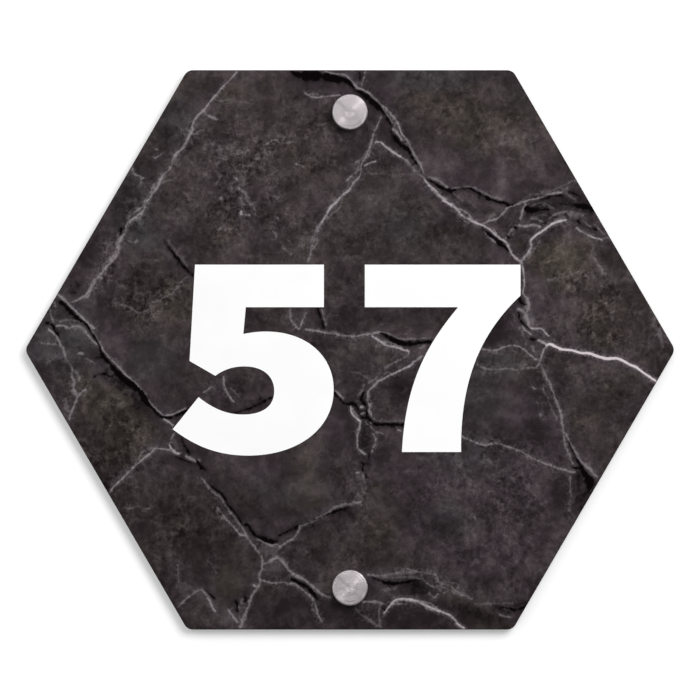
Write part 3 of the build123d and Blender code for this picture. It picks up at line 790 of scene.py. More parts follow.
# Shades of the stone: (x, y, radius across, radius up, lightness, brown tint, graininess), all relative
patches = {
    "west": [
        (60, 270, 70, 90, -.03, -.3, -.1), (136, 213, 11, 18, .1, -.4, .6), (112, 256, 12, 20, .12, -.4, .7),
        (97, 280, 10, 12, .1, -.4, .5), (189, 131, 8, 18, .08, -.3, .6), (130, 205, 14, 20, -.1, .0, .0),
        (150, 368, 25, 25, .07, .0, -.6), (112, 350, 18, 25, .1, -.4, -.2), (118, 420, 40, 45, .03, .7, .25),
        (150, 295, 45, 30, -.05, .5, .4), (40, 350, 16, 16, .02, -.5, .0), (88, 380, 12, 12, .06, .5, .5)
    ],
    "north": [
        (230, 90, 70, 25, .0, .2, -.1), (192, 88, 16, 16, -.08, .0, .0), (280, 150, 50, 35, .05, .3, .25),
        (215, 185, 45, 50, .03, .25, .32), (245, 165, 35, 45, .0, -.3, .1), (390, 85, 18, 12, .08, -.4, -.3),
        (440, 108, 50, 25, .03, .5, .1), (490, 135, 40, 30, .06, .5, .2), (505, 180, 30, 22, .12, -.5, -.2),
        (440, 165, 35, 22, .1, -.5, -.2)
    ],
    "middle": [
        (400, 225, 60, 45, .02, .2, .1), (330, 130, 30, 45, .02, -.1, .2), (270, 225, 45, 30, .05, .1, .2),
        (485, 322, 22, 25, -.2, -.3, -.6), (345, 320, 25, 45, -.04, -.1, .1), (340, 430, 22, 22, -.04, -.5, -.3),
        (410, 390, 30, 20, -.14, -.2, .0), (225, 385, 14, 18, -.02, -.2, .0)
    ],
    "east": [
        (562, 265, 30, 24, .14, 1.0, .3), (615, 325, 35, 30, -.03, .4, .4), (536, 300, 16, 35, .18, -.4, -.1),
        (585, 300, 40, 30, .0, .0, .2), (590, 395, 40, 40, -.01, .2, .1), (540, 420, 22, 40, -.08, -.7, -.2),
        (505, 405, 28, 25, .06, -.3, -.3), (500, 360, 30, 10, -.04, -.2, .1), (560, 211, 42, 15, .0, -.3, .9)
    ],
    "south": [
        (260, 470, 32, 16, .1, -.4, -.4), (300, 490, 30, 20, .05, .3, -.4), (445, 485, 30, 22, .1, -.6, .0),
        (446, 522, 20, 14, -.03, -.4, .0), (510, 480, 50, 40, .04, -.5, .3), (232, 586, 24, 20, -.1, .7, -.2),
        (382, 520, 20, 45, .02, .3, -.1), (575, 500, 26, 26, -.1, -.6, -.2), (190, 520, 50, 42, -.13, .35, .25),
        (320, 550, 50, 30, -.08, .0, .2), (361, 490, 12, 24, .05, -.1, .7), (374, 540, 24, 24, .0, .1, .3),
        (480, 612, 24, 14, -.2, .5, -.4), (300, 612, 60, 14, -.14, -.5, -.3), (420, 618, 60, 10, -.16, -.5, -.3),
        (500, 555, 60, 22, .04, -.6, .2), (515, 585, 50, 12, -.12, -.2, .1), (110, 460, 30, 40, -.06, .1, .3),
        (420, 480, 30, 50, .03, -.5, .1)
    ],
}

# Places where the stone is a cool grey: (x, y, radius across, radius up, amount)
coolPatches = [
    (385, 212, 42, 34, .35), (178, 122, 22, 32, .7), (132, 205, 22, 40, .8), (62, 333, 38, 42, .9),
    (154, 360, 26, 24, .9), (150, 238, 24, 18, .5), (276, 490, 34, 22, .6), (482, 400, 28, 50, .6),
    (446, 450, 34, 20, .5), (446, 522, 26, 26, .7), (486, 466, 40, 18, .4), (430, 78, 60, 14, .8),
    (520, 90, 18, 20, .4), (226, 160, 20, 30, .3), (405, 232, 26, 22, .4), (500, 362, 28, 12, .5)
]

plateShape = {
    "width": 0.2,  # between the sharp corners at mid height
    "cornerRadius": 0.003,
    "cornerSteps": 6,
    "edgeBreak": 0.0003,
}

printing = {
    "lift": 0.00002,  # thickness of the ink film
    "rim": 1.2,  # mm between the points on the plate's rim
    "capSteps": 72,  # points round a cap
    "capGap": 1.004,  # those points stand this far out, in cap radii
    "grid": 1.9,  # mm between the loose points
    "gridRow": 0.866,  # height of a row of them, as a share of that
    "gridReach": (65, 60),  # columns and rows, each way from the centre
    "jitter": 0.2,  # mm that a loose point strays, at most
    "step": 0.6,  # mm between the points along a route
    "feather": 0.5,  # mm from a route's edge to its outer row of points
    "cell": 0.2,  # mm, for finding the points nearby
    "margin": 0.1,  # mm from the points of a route to the rims
    "looseMargin": 0.4,
    "onRoute": 0.12,  # mm, the least room round a point on a route
    "besideRoute": 0.22,
    "looseRoom": 0.45,  # of a loose point, as a share of the grid
    "farthest": 6,  # mm from a route up to which distances are kept
    "digits": 6,  # of a millimetre
    "seed": 7,
}

# Small bends and changes of width along every route
wandering = {
    "amount": 0.22,  # mm that a route strays from its smooth line
    "bends": 1.3,  # mm, the size of its larger bends
    "smallBends": 0.45,
    "smallShare": 0.5,
    "swellings": 0.9,  # mm
    "swelling": 0.9,  # how far the width changes
    "apart": 3.7,  # between two routes in the noise, so that each strays in its own way
}

# What becomes of the widths and lights in the tables
drawing = {
    "crackWidth": 0.92,  # of the widths in the tables
    "veinWidth": 0.8,
    "steadier": 0.8,  # the more light a vein has, the less it strays
    "lightPower": 1.6,  # a light mixed in counts for more than it looks
    "crackStrandLight": 0.5,
    "crackSpurWidth": 1.3,
}

# Strands that leave a vein and join it again, and short spurs; lengths in mm
strands = {
    "brightest": 0.6,  # a vein with more light has none
    "shortest": 8,  # points, and a vein with no more than these has none
    "points": (7, 20),
    "drift": (0.2, 1.0),
    "wander": 0.16,
    "bulge": 0.7,
    "halfWidth": (0.08, 0.16),
    "spurTurn": (0.4, 1.3),
    "spurPoints": (3, 7),
    "spurStep": 0.55,
    "spurWander": 0.09,
    "spurHalfWidth": (0.13, 0.03),
    "spurLight": (0.15, 0.4),
    "plain": {"every": 16, "light": (0.25, 0.6), "spurEvery": 20},  # one for so many points of the vein
    "frayed": {"every": 4, "light": (0.4, 0.85), "spurEvery": 9},
}


def fromPhoto(x, y):
    # millimetres on the plate's face
    return ((x - view["centre"][0]) * pixel / millimetre, (view["centre"][1] - y) * pixel / millimetre)


def roundedHexagon(inset):
    # the plate's outline in mm, moved inwards by inset
    halfWidth = plateShape["width"] / 2 / millimetre
    halfHeight = plateHigh.z / millimetre
    corners = [Vector(p) for p in ((halfWidth, 0), (halfWidth / 2, halfHeight), (-halfWidth / 2, halfHeight),
                                   (-halfWidth, 0), (-halfWidth / 2, -halfHeight), (halfWidth / 2, -halfHeight))]
    radius, steps = plateShape["cornerRadius"] / millimetre, plateShape["cornerSteps"]
    arcs = []
    for i, corner in enumerate(corners):
        before = (corners[i - 1] - corner).normalized()
        after = (corners[(i + 1) % len(corners)] - corner).normalized()
        half = before.angle(after) / 2
        centre = corner + (before + after).normalized() * (radius / math.sin(half))
        start, turn = -(before + after).normalized(), math.pi - 2 * half
        first = math.atan2(start.y, start.x) - turn / 2
        angles = [first + turn * k / steps for k in range(steps + 1)]
        arcs.append([centre + (radius - inset) * Vector((math.cos(angle), math.sin(angle))) for angle in angles])
    outline = []
    for i, arc in enumerate(arcs):
        outline += arc
        run = arcs[(i + 1) % len(arcs)][0] - arc[-1]
        count = round(run.length / printing["rim"])
        outline += [arc[-1] + run * (k / count) for k in range(1, count)]
    return outline


def smoothRoute(points, number, slimming=1.0, unrest=1.0):
    # a route through its points, with the small strays of a real fracture; rows of x, y, half width in mm
    rows = [(*fromPhoto(x, y), width * slimming * pixel / millimetre) for x, y, width in points]
    rows = np.array([rows[0]] + rows + [rows[-1]], float)
    smooth = []
    for a, b, c, d in zip(rows, rows[1:], rows[2:], rows[3:]):
        count = max(1, round(math.dist(b[:2], c[:2]) / printing["step"]))
        for k in range(count):
            t = k / count
            smooth.append(0.5 * (2 * b + (c - a) * t + (2 * a - 5 * b + 4 * c - d) * t * t
                                 + (3 * b - a - 3 * c + d) * t ** 3))
    smooth.append(rows[-1])
    for row in smooth[1:-1]:
        spot = Vector((row[0], row[1], number * wandering["apart"]))
        stray = noise.noise_vector(spot / wandering["bends"])
        stray += noise.noise_vector(spot / wandering["smallBends"]) * wandering["smallShare"]
        row[0] += stray.x * wandering["amount"] * unrest
        row[1] += stray.y * wandering["amount"] * unrest
        row[2] *= 1.0 + noise.noise(spot / wandering["swellings"]) * wandering["swelling"] * unrest
    return np.array(smooth)


def nearest(points, routes, extra=None):
    # the most that a route's half width beats the distance to it, at each point, and that route's own value
    starts = np.concatenate([r[:-1] for r in routes]).astype(np.float32)
    ends = np.concatenate([r[1:] for r in routes]).astype(np.float32)
    values = None if extra is None else np.concatenate([np.full(len(r) - 1, e) for r, e in zip(routes, extra)])
    run = ends[:, :2] - starts[:, :2]
    length = np.maximum((run ** 2).sum(1), 1e-6)
    atOnce = 1500  # points, to spare memory
    best, own = [], []
    for chunk in np.array_split(points.astype(np.float32), max(1, len(points) // atOnce)):
        offset = chunk[:, None, :] - starts[None, :, :2]
        along = np.clip((offset * run).sum(2) / length, 0, 1)
        away = np.sqrt(((offset - along[..., None] * run) ** 2).sum(2))
        reach = starts[:, 2] + along * (ends[:, 2] - starts[:, 2]) - away
        pick = reach.argmax(1)
        best.append(reach[np.arange(len(chunk)), pick])
        if values is not None:
            own.append(values[pick])
    best = np.clip(np.concatenate(best), -printing["farthest"], printing["farthest"])
    return best, np.concatenate(own) if own else None


def directions(route):
    run = np.gradient(route[:, :2], axis=0)
    return run / np.maximum(np.hypot(run[:, 0], run[:, 1]), 1e-6)[:, None]


def braid(route, light, generator, kind="plain"):
    # strands and spurs of one route, each with its own light
    found = []
    if light > strands["brightest"]:
        return found
    run = directions(route)
    across = np.stack([-run[:, 1], run[:, 0]], 1)
    for _ in range(int(len(route) / strands[kind]["every"])):
        count = int(generator.integers(*strands["points"]))
        if len(route) <= count + 2:
            continue
        start = int(generator.integers(1, len(route) - count))
        drift = generator.uniform(*strands["drift"]) * generator.choice([-1, 1])
        drift = drift + np.cumsum(generator.normal(0, strands["wander"], count))
        bulge = np.sin(np.linspace(0, math.pi, count)) ** strands["bulge"] * drift
        strand = route[start:start + count].copy()
        strand[:, :2] += across[start:start + count] * bulge[:, None]
        strand[:, 2] = generator.uniform(*strands["halfWidth"])
        found.append((strand, light * generator.uniform(*strands[kind]["light"])))
    for _ in range(int(len(route) / strands[kind]["spurEvery"])):
        start = int(generator.integers(0, len(route)))
        turn = generator.uniform(*strands["spurTurn"]) * generator.choice([-1, 1])
        steps = np.arange(int(generator.integers(*strands["spurPoints"])))[:, None] * strands["spurStep"]
        forward = run[start] * math.cos(turn) + across[start] * math.sin(turn)
        places = route[start, :2] + forward * steps + generator.normal(0, strands["spurWander"], (len(steps), 2))
        spur = np.concatenate([places, np.linspace(*strands["spurHalfWidth"], len(steps))[:, None]], 1)
        found.append((spur, light * generator.uniform(*strands["spurLight"])))
    return found


def withWidths(width, points):
    return [(*p, width) for p in points] if width else points


def makeRoutes(generator):
    # the routes of cracks, smoke and veins, and each vein's brightness
    noise.seed_set(printing["seed"])  # noise_vector starts from the clock otherwise
    number = iter(range(len(cracks) + len(smoke) + len(veins)))
    crackRoutes = [smoothRoute(points, next(number), drawing["crackWidth"]) for points in cracks.values()]
    smokeRoutes = [smoothRoute(points, next(number)) for points in smoke.values()]
    veinRoutes = [smoothRoute(withWidths(width, points), next(number), drawing["veinWidth"],
                              1.0 - light * drawing["steadier"]) for light, width, points in veins.values()]
    brightness = [light ** drawing["lightPower"] for light, _, _ in veins.values()]
    for name, route, light in list(zip(veins, veinRoutes, brightness)):
        if len(route) > strands["shortest"]:
            for strand, own in braid(route, light, generator, "frayed" if name in frayed else "plain"):
                veinRoutes.append(strand)
                brightness.append(own)
    for route in list(crackRoutes):
        found = braid(route, drawing["crackStrandLight"], generator)
        for spur, _ in found[len(route) // strands["plain"]["every"]:]:  # the strands come first and are left out
            crackRoutes.append(spur * (1.0, 1.0, drawing["crackSpurWidth"]))
    # the last digits can differ between runs, so they are cut off
    crackRoutes, smokeRoutes, veinRoutes = [[np.round(route, printing["digits"]) for route in routes]
                                            for routes in (crackRoutes, smokeRoutes, veinRoutes)]
    return crackRoutes, smokeRoutes, veinRoutes, brightness


def fromRim(rim, x, y):
    # mm from a point, or from each of many, to the nearest side; less than 0 outside
    sides = np.roll(rim, -1, 0) - rim
    x, y = np.asarray(x)[..., None], np.asarray(y)[..., None]
    cross = sides[:, 0] * (y - rim[:, 1]) - sides[:, 1] * (x - rim[:, 0])
    return (cross / np.hypot(sides[:, 0], sides[:, 1])).min(-1)


def fromCaps(x, y):
    # mm from the middle of the nearer cap
    return math.hypot(x, abs(y) - capHeight / millimetre)


def scatterPoints(crackRoutes, smokeRoutes, veinRoutes, generator):
    # points of the printed face and the edges between them: rims, routes, then a loose grid
    flatRim = roundedHexagon(plateShape["edgeBreak"] / millimetre)
    rim = np.array(flatRim)
    radius = capRadius / millimetre
    points, edges, taken = [], [], {}

    def cell(x, y):
        return int(math.floor(x / printing["cell"])), int(math.floor(y / printing["cell"]))

    def free(x, y, room):
        i, j = cell(x, y)
        reach = int(math.ceil(room / printing["cell"]))
        for a in range(i - reach, i + reach + 1):
            for b in range(j - reach, j + reach + 1):
                for p, q in taken.get((a, b), ()):
                    if (p - x) ** 2 + (q - y) ** 2 < room * room:
                        return False
        return True

    def put(x, y):
        x, y = round(float(x), printing["digits"]), round(float(y), printing["digits"])
        points.append((x, y))
        taken.setdefault(cell(x, y), []).append((x, y))
        return len(points) - 1

    def inside(x, y, margin):
        return fromRim(rim, x, y) >= margin and fromCaps(x, y) > radius + margin

    def ring(outline):
        own = [put(p[0], p[1]) for p in outline]
        edges.extend(zip(own, own[1:] + own[:1]))

    ring(roundedHexagon(0.0))
    ring(flatRim)
    out, steps = radius * printing["capGap"], printing["capSteps"]
    for side in (1, -1):
        middle = side * capHeight / millimetre
        angles = [k * math.pi / (steps / 2) for k in range(steps)]
        ring([(out * math.cos(angle), middle + out * math.sin(angle)) for angle in angles])
    margin = printing["margin"]
    for route in crackRoutes + veinRoutes:
        last = None
        for x, y, _ in route:
            if inside(x, y, margin) and free(x, y, printing["onRoute"]):
                own = put(x, y)
                if last is not None:
                    edges.append((last, own))
                last = own
            else:
                last = None
    for route in crackRoutes + veinRoutes + smokeRoutes:
        for (x, y, width), (dx, dy) in zip(route, directions(route)):
            for away in (width, width + printing["feather"]):
                for side in (away, -away):
                    p, q = x - dy * side, y + dx * side
                    if inside(p, q, margin) and free(p, q, printing["besideRoute"]):
                        put(p, q)
    grid, jitter = printing["grid"], printing["jitter"]
    columns, rows = printing["gridReach"]
    for j in range(-rows, rows + 1):
        for i in range(-columns, columns + 1):
            x = (i + 0.5 * (j % 2)) * grid + generator.uniform(-jitter, jitter)
            y = j * grid * printing["gridRow"] + generator.uniform(-jitter, jitter)
            if inside(x, y, printing["looseMargin"]) and free(x, y, grid * printing["looseRoom"]):
                put(x, y)
    print("printed face:", len(points), "points")
    return rim, points, edges


def softSpot(spots, x, y, across, up):
    # 1 at its middle, about a third at its radii, soon 0 outside them
    x, y = fromPhoto(x, y)
    across, up = across * pixel / millimetre, up * pixel / millimetre
    return np.exp(-(((spots[:, 0] - x) / across) ** 2 + ((spots[:, 1] - y) / up) ** 2) ** 1.5)


def makePrintedFace():
    generator = np.random.default_rng(printing["seed"])
    crackRoutes, smokeRoutes, veinRoutes, brightness = makeRoutes(generator)
    rim, points, edges = scatterPoints(crackRoutes, smokeRoutes, veinRoutes, generator)
    flat, _, faces, *_ = geometry.delaunay_2d_cdt([Vector(p) for p in points], edges, [], 0, 1e-5)
    flat = np.array([tuple(p) for p in flat])
    kept = [face for face in faces if fromCaps(*flat[list(face)].mean(0)) > capRadius / millimetre]
    outside = np.clip(-fromRim(rim, flat[:, 0], flat[:, 1]), 0, plateShape["edgeBreak"] / millimetre)
    depth = faceY / millimetre - printing["lift"] / millimetre + outside
    mesh = bpy.data.meshes.new("printedFace")
    mesh.from_pydata([(x * millimetre, y * millimetre, z * millimetre) for (x, z), y in zip(flat, depth)], [], kept)
    face = makeObject("printedFace", mesh)
    body = bmesh.new()
    body.from_mesh(mesh)
    bmesh.ops.delete(body, geom=[v for v in body.verts if not v.link_faces], context="VERTS")
    for polygon in body.faces:
        if polygon.normal.y > 0:
            polygon.normal_flip()
    body.to_mesh(mesh)
    body.free()
    mesh.shade_smooth()

    co = np.zeros(len(mesh.vertices) * 3, np.float32)
    mesh.vertices.foreach_get("co", co)
    spots = co.reshape(-1, 3)[:, [0, 2]] / millimetre
    vein, light = nearest(spots, veinRoutes, brightness)
    layers = {
        "cool": np.zeros(len(spots)),
        "crack": nearest(spots, crackRoutes)[0],
        "smoke": nearest(spots, smokeRoutes)[0],
        "vein": vein,
        "veinLight": light,
        "tone": np.zeros(len(spots)),
        "brown": np.zeros(len(spots)),
        "grain": np.zeros(len(spots)),
    }
    for group in patches.values():
        for x, y, across, up, *amounts in group:
            weight = softSpot(spots, x, y, across, up)
            for name, amount in zip(("tone", "brown", "grain"), amounts):
                layers[name] += weight * amount
    for x, y, across, up, amount in coolPatches:
        layers["cool"] += amount * softSpot(spots, x, y, across, up)
    for name, values in layers.items():
        attribute = mesh.attributes.new(name, "FLOAT", "POINT")
        attribute.data.foreach_set("value", values.astype(np.float32))

    sheet = mesh.uv_layers.new(name="sheet")
    reach = plateShape["width"] / millimetre
    corners = np.zeros(len(mesh.loops), np.int32)
    mesh.loops.foreach_get("vertex_index", corners)
    sheet.data.foreach_set("uv", (spots[corners] / reach + 0.5).astype(np.float32).ravel())
    print("printed face:", len(mesh.polygons), "triangles")
    return face


stoneLook = {
    "purple": [(0.0, colour(20, 13, 17)), (0.3, colour(40, 33, 36)), (0.5, colour(57, 49, 53)),
               (0.72, colour(76, 68, 71)), (1.0, colour(110, 102, 106))],
    "brown": [(0.0, colour(20, 15, 14)), (0.3, colour(42, 36, 34)), (0.5, colour(59, 53, 49)),
              (0.72, colour(79, 72, 67)), (1.0, colour(114, 107, 100))],
    "cool": [(0.0, colour(18, 15, 17)), (0.3, colour(38, 35, 37)), (0.5, colour(55, 52, 54)),
             (0.72, colour(74, 71, 73)), (1.0, colour(107, 104, 106))],
    "crack": colour(6, 2, 4),
    "vein": colour(208, 198, 203),
    "dust": colour(122, 114, 117),
    "ragged": 0.8,  # mm that the noise moves the edge of a crack, at most
    "bend": 0.0018,  # metres that the finer noises are bent
    "sweep": 0.006,  # and the clouds as well
    "level": 0.48,  # where the plain stone lies on its ramp of colours
    "webScale": 420.0,
    "roughness": 0.5,
    "specular": 0.018,
}

# The stone's noises: size of the largest lumps in metres, detail, roughness
stoneNoise = {
    "warp": (0.0035, 4.0, 0.6),
    "sweep": (0.012, 3.0, 0.5),
    "broad": (0.022, 3.0, 0.5),
    "clouds": (0.008, 7.0, 0.68),
    "middle": (0.0055, 6.0, 0.62),
    "worms": (0.0016, 3.0, 0.5),
    "fine": (0.0009, 4.0, 0.65),
    "speck": (0.0006, 2.0, 0.5),
    "patchy": (0.006, 3.0, 0.5),
    "ridge": (0.0026, 3.0, 0.55),
    "tint": (0.009, 3.0, 0.5),
    "crease": (0.0042, 5.0, 0.55),
}

# How much each layer of the print shows
stoneShare = {
    "broad": 0.25,
    "cloudStep": 0.07,
    "clouds": 0.9,
    "worms": 1.05,
    "fine": 0.78,
    "ridge": 0.2,
    "brown": 0.75,
    "hairs": 0.3,
    "tangle": 0.24,
    "dust": 0.4,
    "breaks": 0.5,
    "shadow": 0.42,
    "besideVein": 0.3,
    "bloom": 0.18,
}


def stonePrint():
    # the pairs given to between are shares of a noise, or mm inside (above 0) and outside a crack or vein
    stone = Finish("stonePrint")
    where = stone.place()
    share = stoneShare

    def layer(name, place, output="Fac"):
        return stone.noise(place, *stoneNoise[name], output=output)

    def moved(name, place, distance, start):
        away = stone.vector("SUBTRACT", layer(name, place, "Color"), (0.5, 0.5, 0.5))
        return stone.vector("ADD", start, stone.vector("SCALE", away, scale=distance))

    bent = moved("warp", where, stoneLook["bend"], where)
    swept = moved("sweep", where, stoneLook["sweep"], bent)
    broad, speck = layer("broad", where), layer("speck", where)
    middle, worms, fine = layer("middle", bent), layer("worms", bent), layer("fine", bent)
    clouds = layer("clouds", swept)
    crack, vein, light = stone.attribute("crack"), stone.attribute("vein"), stone.attribute("veinLight")
    grain = stone.attribute("grain")

    # mottled stone between the cracks: clouds everywhere, a finer grain in patches
    patchy = layer("patchy", swept).between(0.4, 0.6)
    smooth = crack.between(-5.0, -0.8, 1.0, 0.45)
    rough = (grain * 1.1 + 0.35).larger(0.08) * (patchy * 0.7 + 0.65) * smooth
    level = stone.attribute("tone") + stoneLook["level"] + (broad - 0.5) * share["broad"]
    level = level + (clouds.between(0.44, 0.6) - 0.45) * share["cloudStep"]
    level = level + (clouds - 0.5) * (share["clouds"] - grain * 0.2)
    ridge = abs(layer("ridge", bent) - 0.5).between(0.0, 0.1, 1.0, 0.0)
    level = level + ((worms - 0.5) * share["worms"] + (fine - 0.5) * share["fine"]
                     + (ridge - 0.45) * share["ridge"]) * rough
    purple, brown, cool = [stone.ramp(level, stoneLook[name]) for name in ("purple", "brown", "cool")]
    tint = layer("tint", where) - 0.5
    near = crack.between(-4.0, -0.5).larger(vein.between(-3.0, -0.3) * light.between(0.1, 0.4))
    brownness = stone.attribute("brown") * share["brown"] + 0.34 + tint * 1.1 - near * 0.35
    base = stone.mix(brownness.between(0.0, 1.0), purple, brown)
    base = stone.mix((stone.attribute("cool") + tint * 0.8).between(0.1, 1.0), base, cool)

    # crazing: pale hairs in the grainy places, and a tangle of short strands along the veins
    crease = abs(layer("crease", swept) - 0.5)
    hairs = crease.between(0.0, 0.009, 1.0, 0.0) * middle.between(0.47, 0.62) * rough.between(0.25, 0.9)
    web = stone.add("ShaderNodeTexVoronoi", {"feature": "DISTANCE_TO_EDGE"},
                    {"Vector": bent, "Scale": stoneLook["webScale"]}, output="Distance")
    tangle = web.between(0.0, 0.07, 1.0, 0.0) * vein.between(-2.6, -0.3) * fine.between(0.42, 0.62)
    dust = speck.between(0.64, 0.8) * middle.between(0.48, 0.62) * rough.between(0.3, 1.0)
    pale = (hairs * share["hairs"]).larger((tangle * share["tangle"]).larger(dust * share["dust"]))
    base = stone.mix(pale, base, stoneLook["dust"])

    # dark haze and small breaks beside the cracks, then veins, then the cracks themselves
    ragged = ((middle - 0.5) * 1.3 + (fine - 0.5) * 2.0 + (worms - 0.5) * 1.2) * stoneLook["ragged"]
    breaks = web.between(0.0, 0.09, 1.0, 0.0) * crack.between(-2.2, -0.2) * worms.between(0.4, 0.6)
    shadow = (crack + ragged).between(-1.1, 0.1) * share["shadow"]
    haze = (stone.attribute("smoke") + ragged * 2).between(-1.8, 1.2)
    beside = (vein + ragged).between(-1.2, -0.4) * light.between(0.1, 0.5) * worms.between(0.4, 0.6)
    churn = worms.between(0.38, 0.6) * 0.5 + fine.between(0.4, 0.6) * 0.2 + 0.17
    dark = shadow.larger((haze * churn).larger((breaks * share["breaks"]).larger(beside * share["besideVein"])))
    base = stone.mix(dark, base, stoneLook["crack"])
    broken = fine.between(0.34, 0.6) * 0.6 + middle.between(0.36, 0.6) * 0.4
    steady = light.between(0.35, 0.8)
    faint = light.between(0.12, 0.4, 1.0, 0.0)  # the paler a vein, the softer and more broken it is
    core = (vein + ragged * (0.1 + faint * 0.55)).between(-0.24 - faint * 0.14, 0.2 + faint * 0.2)
    core = core * light * (broken * 0.8 + 0.3).larger(steady)
    bloom = (vein + ragged).between(-1.1, 0.1) * light * broken * share["bloom"]
    base = stone.mix(core.larger(bloom).smaller(1.0), base, stoneLook["vein"])
    base = stone.mix((crack + ragged * 0.8).between(-0.2, 0.34), base, stoneLook["crack"])

    stone.surface(base_color=base, roughness=stoneLook["roughness"] + (fine - 0.5) * 0.12,
                  specular_ior_level=stoneLook["specular"], normal=stone.bump(speck, 0.06, 0.00002))
    return stone


printedFace = makePrintedFace()
dress(printedFace, stonePrint())
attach(printedFace, "root")
print("stone print made")

# Finishes with soft clouds and a fine grain. clouds: their size; roughness: its middle, and how far the clouds
# change it; grain: its size and detail; depth: the strength and height of its bumps; fixed: other sockets
cloudyLook = {
    "blackAcrylic": {
        "colours": (colour(22, 21, 22), colour(30, 29, 30)),
        "clouds": 0.01,
        "roughness": (0.28, 0.2),
        "grain": (0.0004, 2.0),
        "depth": (0.1, 0.00003),
        "fixed": {},
    },
    "whiteFilm": {
        "colours": (colour(252, 252, 252), colour(254, 254, 254)),
        "clouds": 0.012,
        "roughness": (0.42, 0.1),
        "grain": (0.0006, 2.0),
        "depth": (0.03, 0.00002),
        "fixed": {"specular_ior_level": 0.2},
    },
    "naturalNylon": {
        "colours": (colour(214, 209, 192), colour(228, 224, 210)),
        "clouds": 0.003,
        "roughness": (0.5, 0.2),
        "grain": (0.0003, 2.0),
        "depth": (0.1, 0.00003),
        "fixed": {},
    },
    "zincSteel": {
        "colours": (colour(190, 186, 172), colour(212, 208, 196)),
        "clouds": 0.0015,
        "roughness": (0.36, 0.25),
        "grain": (0.0004, 3.0),
        "depth": (0.15, 0.00003),
        "fixed": {"metallic": 1.0},
    },
}


def cloudyFinish(name):
    look = cloudyLook[name]
    finish = Finish(name)
    cloud = finish.noise(finish.place(), look["clouds"], 4.0)
    grain = finish.noise(finish.place(), *look["grain"])
    middle, change = look["roughness"]
    finish.surface(base_color=finish.mix(cloud.between(0.35, 0.65), *look["colours"]),
                   roughness=middle + (cloud - 0.5) * change,
                   normal=finish.bump(grain, *look["depth"]), **look["fixed"])
    return finish


# Metals turned on a lathe. coarse and fine: rings in each metre, their detail and roughness
turnedLook = {
    "cap": {
        "colours": (colour(175, 168, 171), colour(179, 172, 175)),
        "coarse": (12000.0, 3.0, 0.7),
        "fine": (30000.0, 2.0, 0.5),
        "roughness": 0.41,
        "depth": (1.0, 0.00009),
    },
    "seat": {
        "colours": (colour(196, 190, 176), colour(214, 209, 196)),
        "coarse": (5000.0, 2.0, 0.5),
        "roughness": 0.28,
        "depth": (0.2, 0.00003),
    },
}


def turnedRadius(metal):
    # distance from the axis of the nearer fixing
    where = metal.place()
    x = metal.axis(where, "X")
    z = abs(metal.axis(where, "Z")) - capHeight
    return (x * x + z * z).root()


def turnedRings(metal, radius, perMetre, detail, roughness):
    sockets = {"W": radius, "Scale": perMetre, "Detail": detail, "Roughness": roughness}
    return metal.add("ShaderNodeTexNoise", {"noise_dimensions": "1D"}, sockets, output="Fac")


def spunFinish():
    # a lathe's fine rings, which spread each light into a band across the cap
    look = turnedLook["cap"]
    steel = Finish("spunSteel")
    radius = turnedRadius(steel)
    coarse = turnedRings(steel, radius, *look["coarse"])
    rings = coarse * 0.5 + turnedRings(steel, radius, *look["fine"]) * 0.5
    cloud = steel.noise(steel.place(), 0.002, 4.0)
    steel.surface(base_color=steel.mix(rings.between(0.3, 0.7), *look["colours"]), metallic=1.0,
                  roughness=look["roughness"] + (cloud - 0.5) * 0.04 + (coarse - 0.5) * 0.03,
                  normal=steel.bump(rings, *look["depth"]))
    return steel


def seatFinish():
    look = turnedLook["seat"]
    brass = Finish("nickelBrass")
    rings = turnedRings(brass, turnedRadius(brass), *look["coarse"])
    brass.surface(base_color=brass.mix(rings.between(0.3, 0.7), *look["colours"]), metallic=1.0,
                  roughness=look["roughness"] + (rings - 0.5) * 0.2, normal=brass.bump(rings, *look["depth"]))
    return brass


finishes = {name: cloudyFinish(name) for name in cloudyLook}
finishes["spunSteel"] = spunFinish()
finishes["nickelBrass"] = seatFinish()
worn = {"plate": "blackAcrylic", "numeral_five": "whiteFilm", "numeral_seven": "whiteFilm"}
for place in ("top", "bottom"):
    worn[place + "_cap"] = "spunSteel"
    worn[place + "_cap_seat"] = "nickelBrass"
    worn[place + "_bush"] = "naturalNylon"
    worn[place + "_screw"] = "zincSteel"
for node, finish in worn.items():
    dress(nodes[node], finishes[finish])
print("finishes given to the CAD nodes")

thread = {
    "pitch": 0.0018,
    "core": 0.0013,  # radius between the turns
    "crest": 0.00198,
    "cut": -0.00045,  # the smooth shank of the solid screw ends here
    "start": -0.0006,  # the core begins inside the shank
    "runIn": 0.0014,  # over this length the thread grows to its full height
    "full": 0.0143,
    "tip": 0.01795,
    "pointGrowth": 1.15,  # the thread keeps its height a little way into the point
    "steps": 48,  # round one turn
    "profile": [(0.0, 0.0), (0.3, 0.0), (0.47, 1.0), (0.53, 1.0), (0.7, 0.0)],  # along one pitch, and up from the core
    "weld": 0.000002,
    "sharpFrom": 32,  # degrees between two faces
}


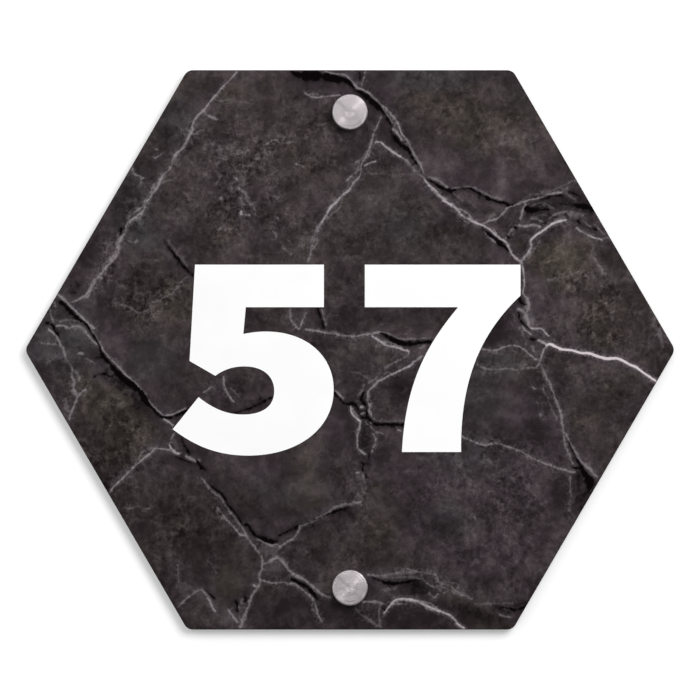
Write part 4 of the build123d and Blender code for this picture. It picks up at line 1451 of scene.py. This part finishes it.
def threadPoint(turn, along, height):
    y = thread["start"] + thread["pitch"] * (turn - 1 + along)
    y = min(max(y, thread["start"]), thread["tip"])
    point = 1.0 - max(0.0, (y - thread["full"]) / (thread["tip"] - thread["full"]))
    growth = min(1.0, max(0.0, (y - thread["cut"]) / thread["runIn"])) * min(1.0, point * thread["pointGrowth"])
    radius = thread["core"] * point + (thread["crest"] - thread["core"]) * height * growth
    angle = turn * 2 * math.pi
    return (radius * math.cos(angle), y, radius * math.sin(angle))


def makeScrew(place, height):
    # the solid screw's head and shank, with a cut thread in place of its plain cylinder
    body = bmesh.new()
    body.from_mesh(nodes[place + "_screw"].data)
    whole = body.verts[:] + body.edges[:] + body.faces[:]
    bmesh.ops.bisect_plane(body, geom=whole, plane_co=(0, thread["cut"], 0), plane_no=(0, 1, 0), clear_outer=True)
    bmesh.ops.holes_fill(body, edges=[e for e in body.edges if e.is_boundary])

    turns = math.ceil((thread["tip"] - thread["start"]) / thread["pitch"]) + 1
    steps, profile = thread["steps"], thread["profile"]
    rows = [[body.verts.new(threadPoint(k / steps, *spot)) for spot in profile] for k in range(turns * steps + 1)]
    helix = [vertex for row in rows for vertex in row]
    for vertex in helix:
        vertex.co.z += height
    for k in range(len(rows) - 1):
        for j in range(len(profile)):
            if j + 1 < len(profile):
                body.faces.new((rows[k][j], rows[k + 1][j], rows[k + 1][j + 1], rows[k][j + 1]))
            elif k + 1 + steps < len(rows):
                body.faces.new((rows[k][j], rows[k + 1][j], rows[k + 1 + steps][0], rows[k + steps][0]))
    bmesh.ops.remove_doubles(body, verts=helix, dist=thread["weld"])
    bmesh.ops.dissolve_degenerate(body, dist=thread["weld"] / 2, edges=body.edges[:])
    bmesh.ops.delete(body, geom=[v for v in body.verts if not v.link_faces], context="VERTS")
    bmesh.ops.holes_fill(body, edges=[e for e in body.edges if e.is_boundary])
    bmesh.ops.recalc_face_normals(body, faces=body.faces[:])
    print(place, "screw:", len(body.faces), "faces,", sum(e.is_boundary for e in body.edges), "open edges")
    mesh = bpy.data.meshes.new(place + "Screw")
    body.to_mesh(mesh)
    body.free()
    mesh.shade_smooth()
    mesh.set_sharp_from_angle(angle=math.radians(thread["sharpFrom"]))
    screw = makeObject(place + "Screw", mesh)
    dress(screw, finishes["zincSteel"])
    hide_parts(place + "_screw")
    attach(screw, "root")


makeScrew("top", capHeight)
makeScrew("bottom", -capHeight)
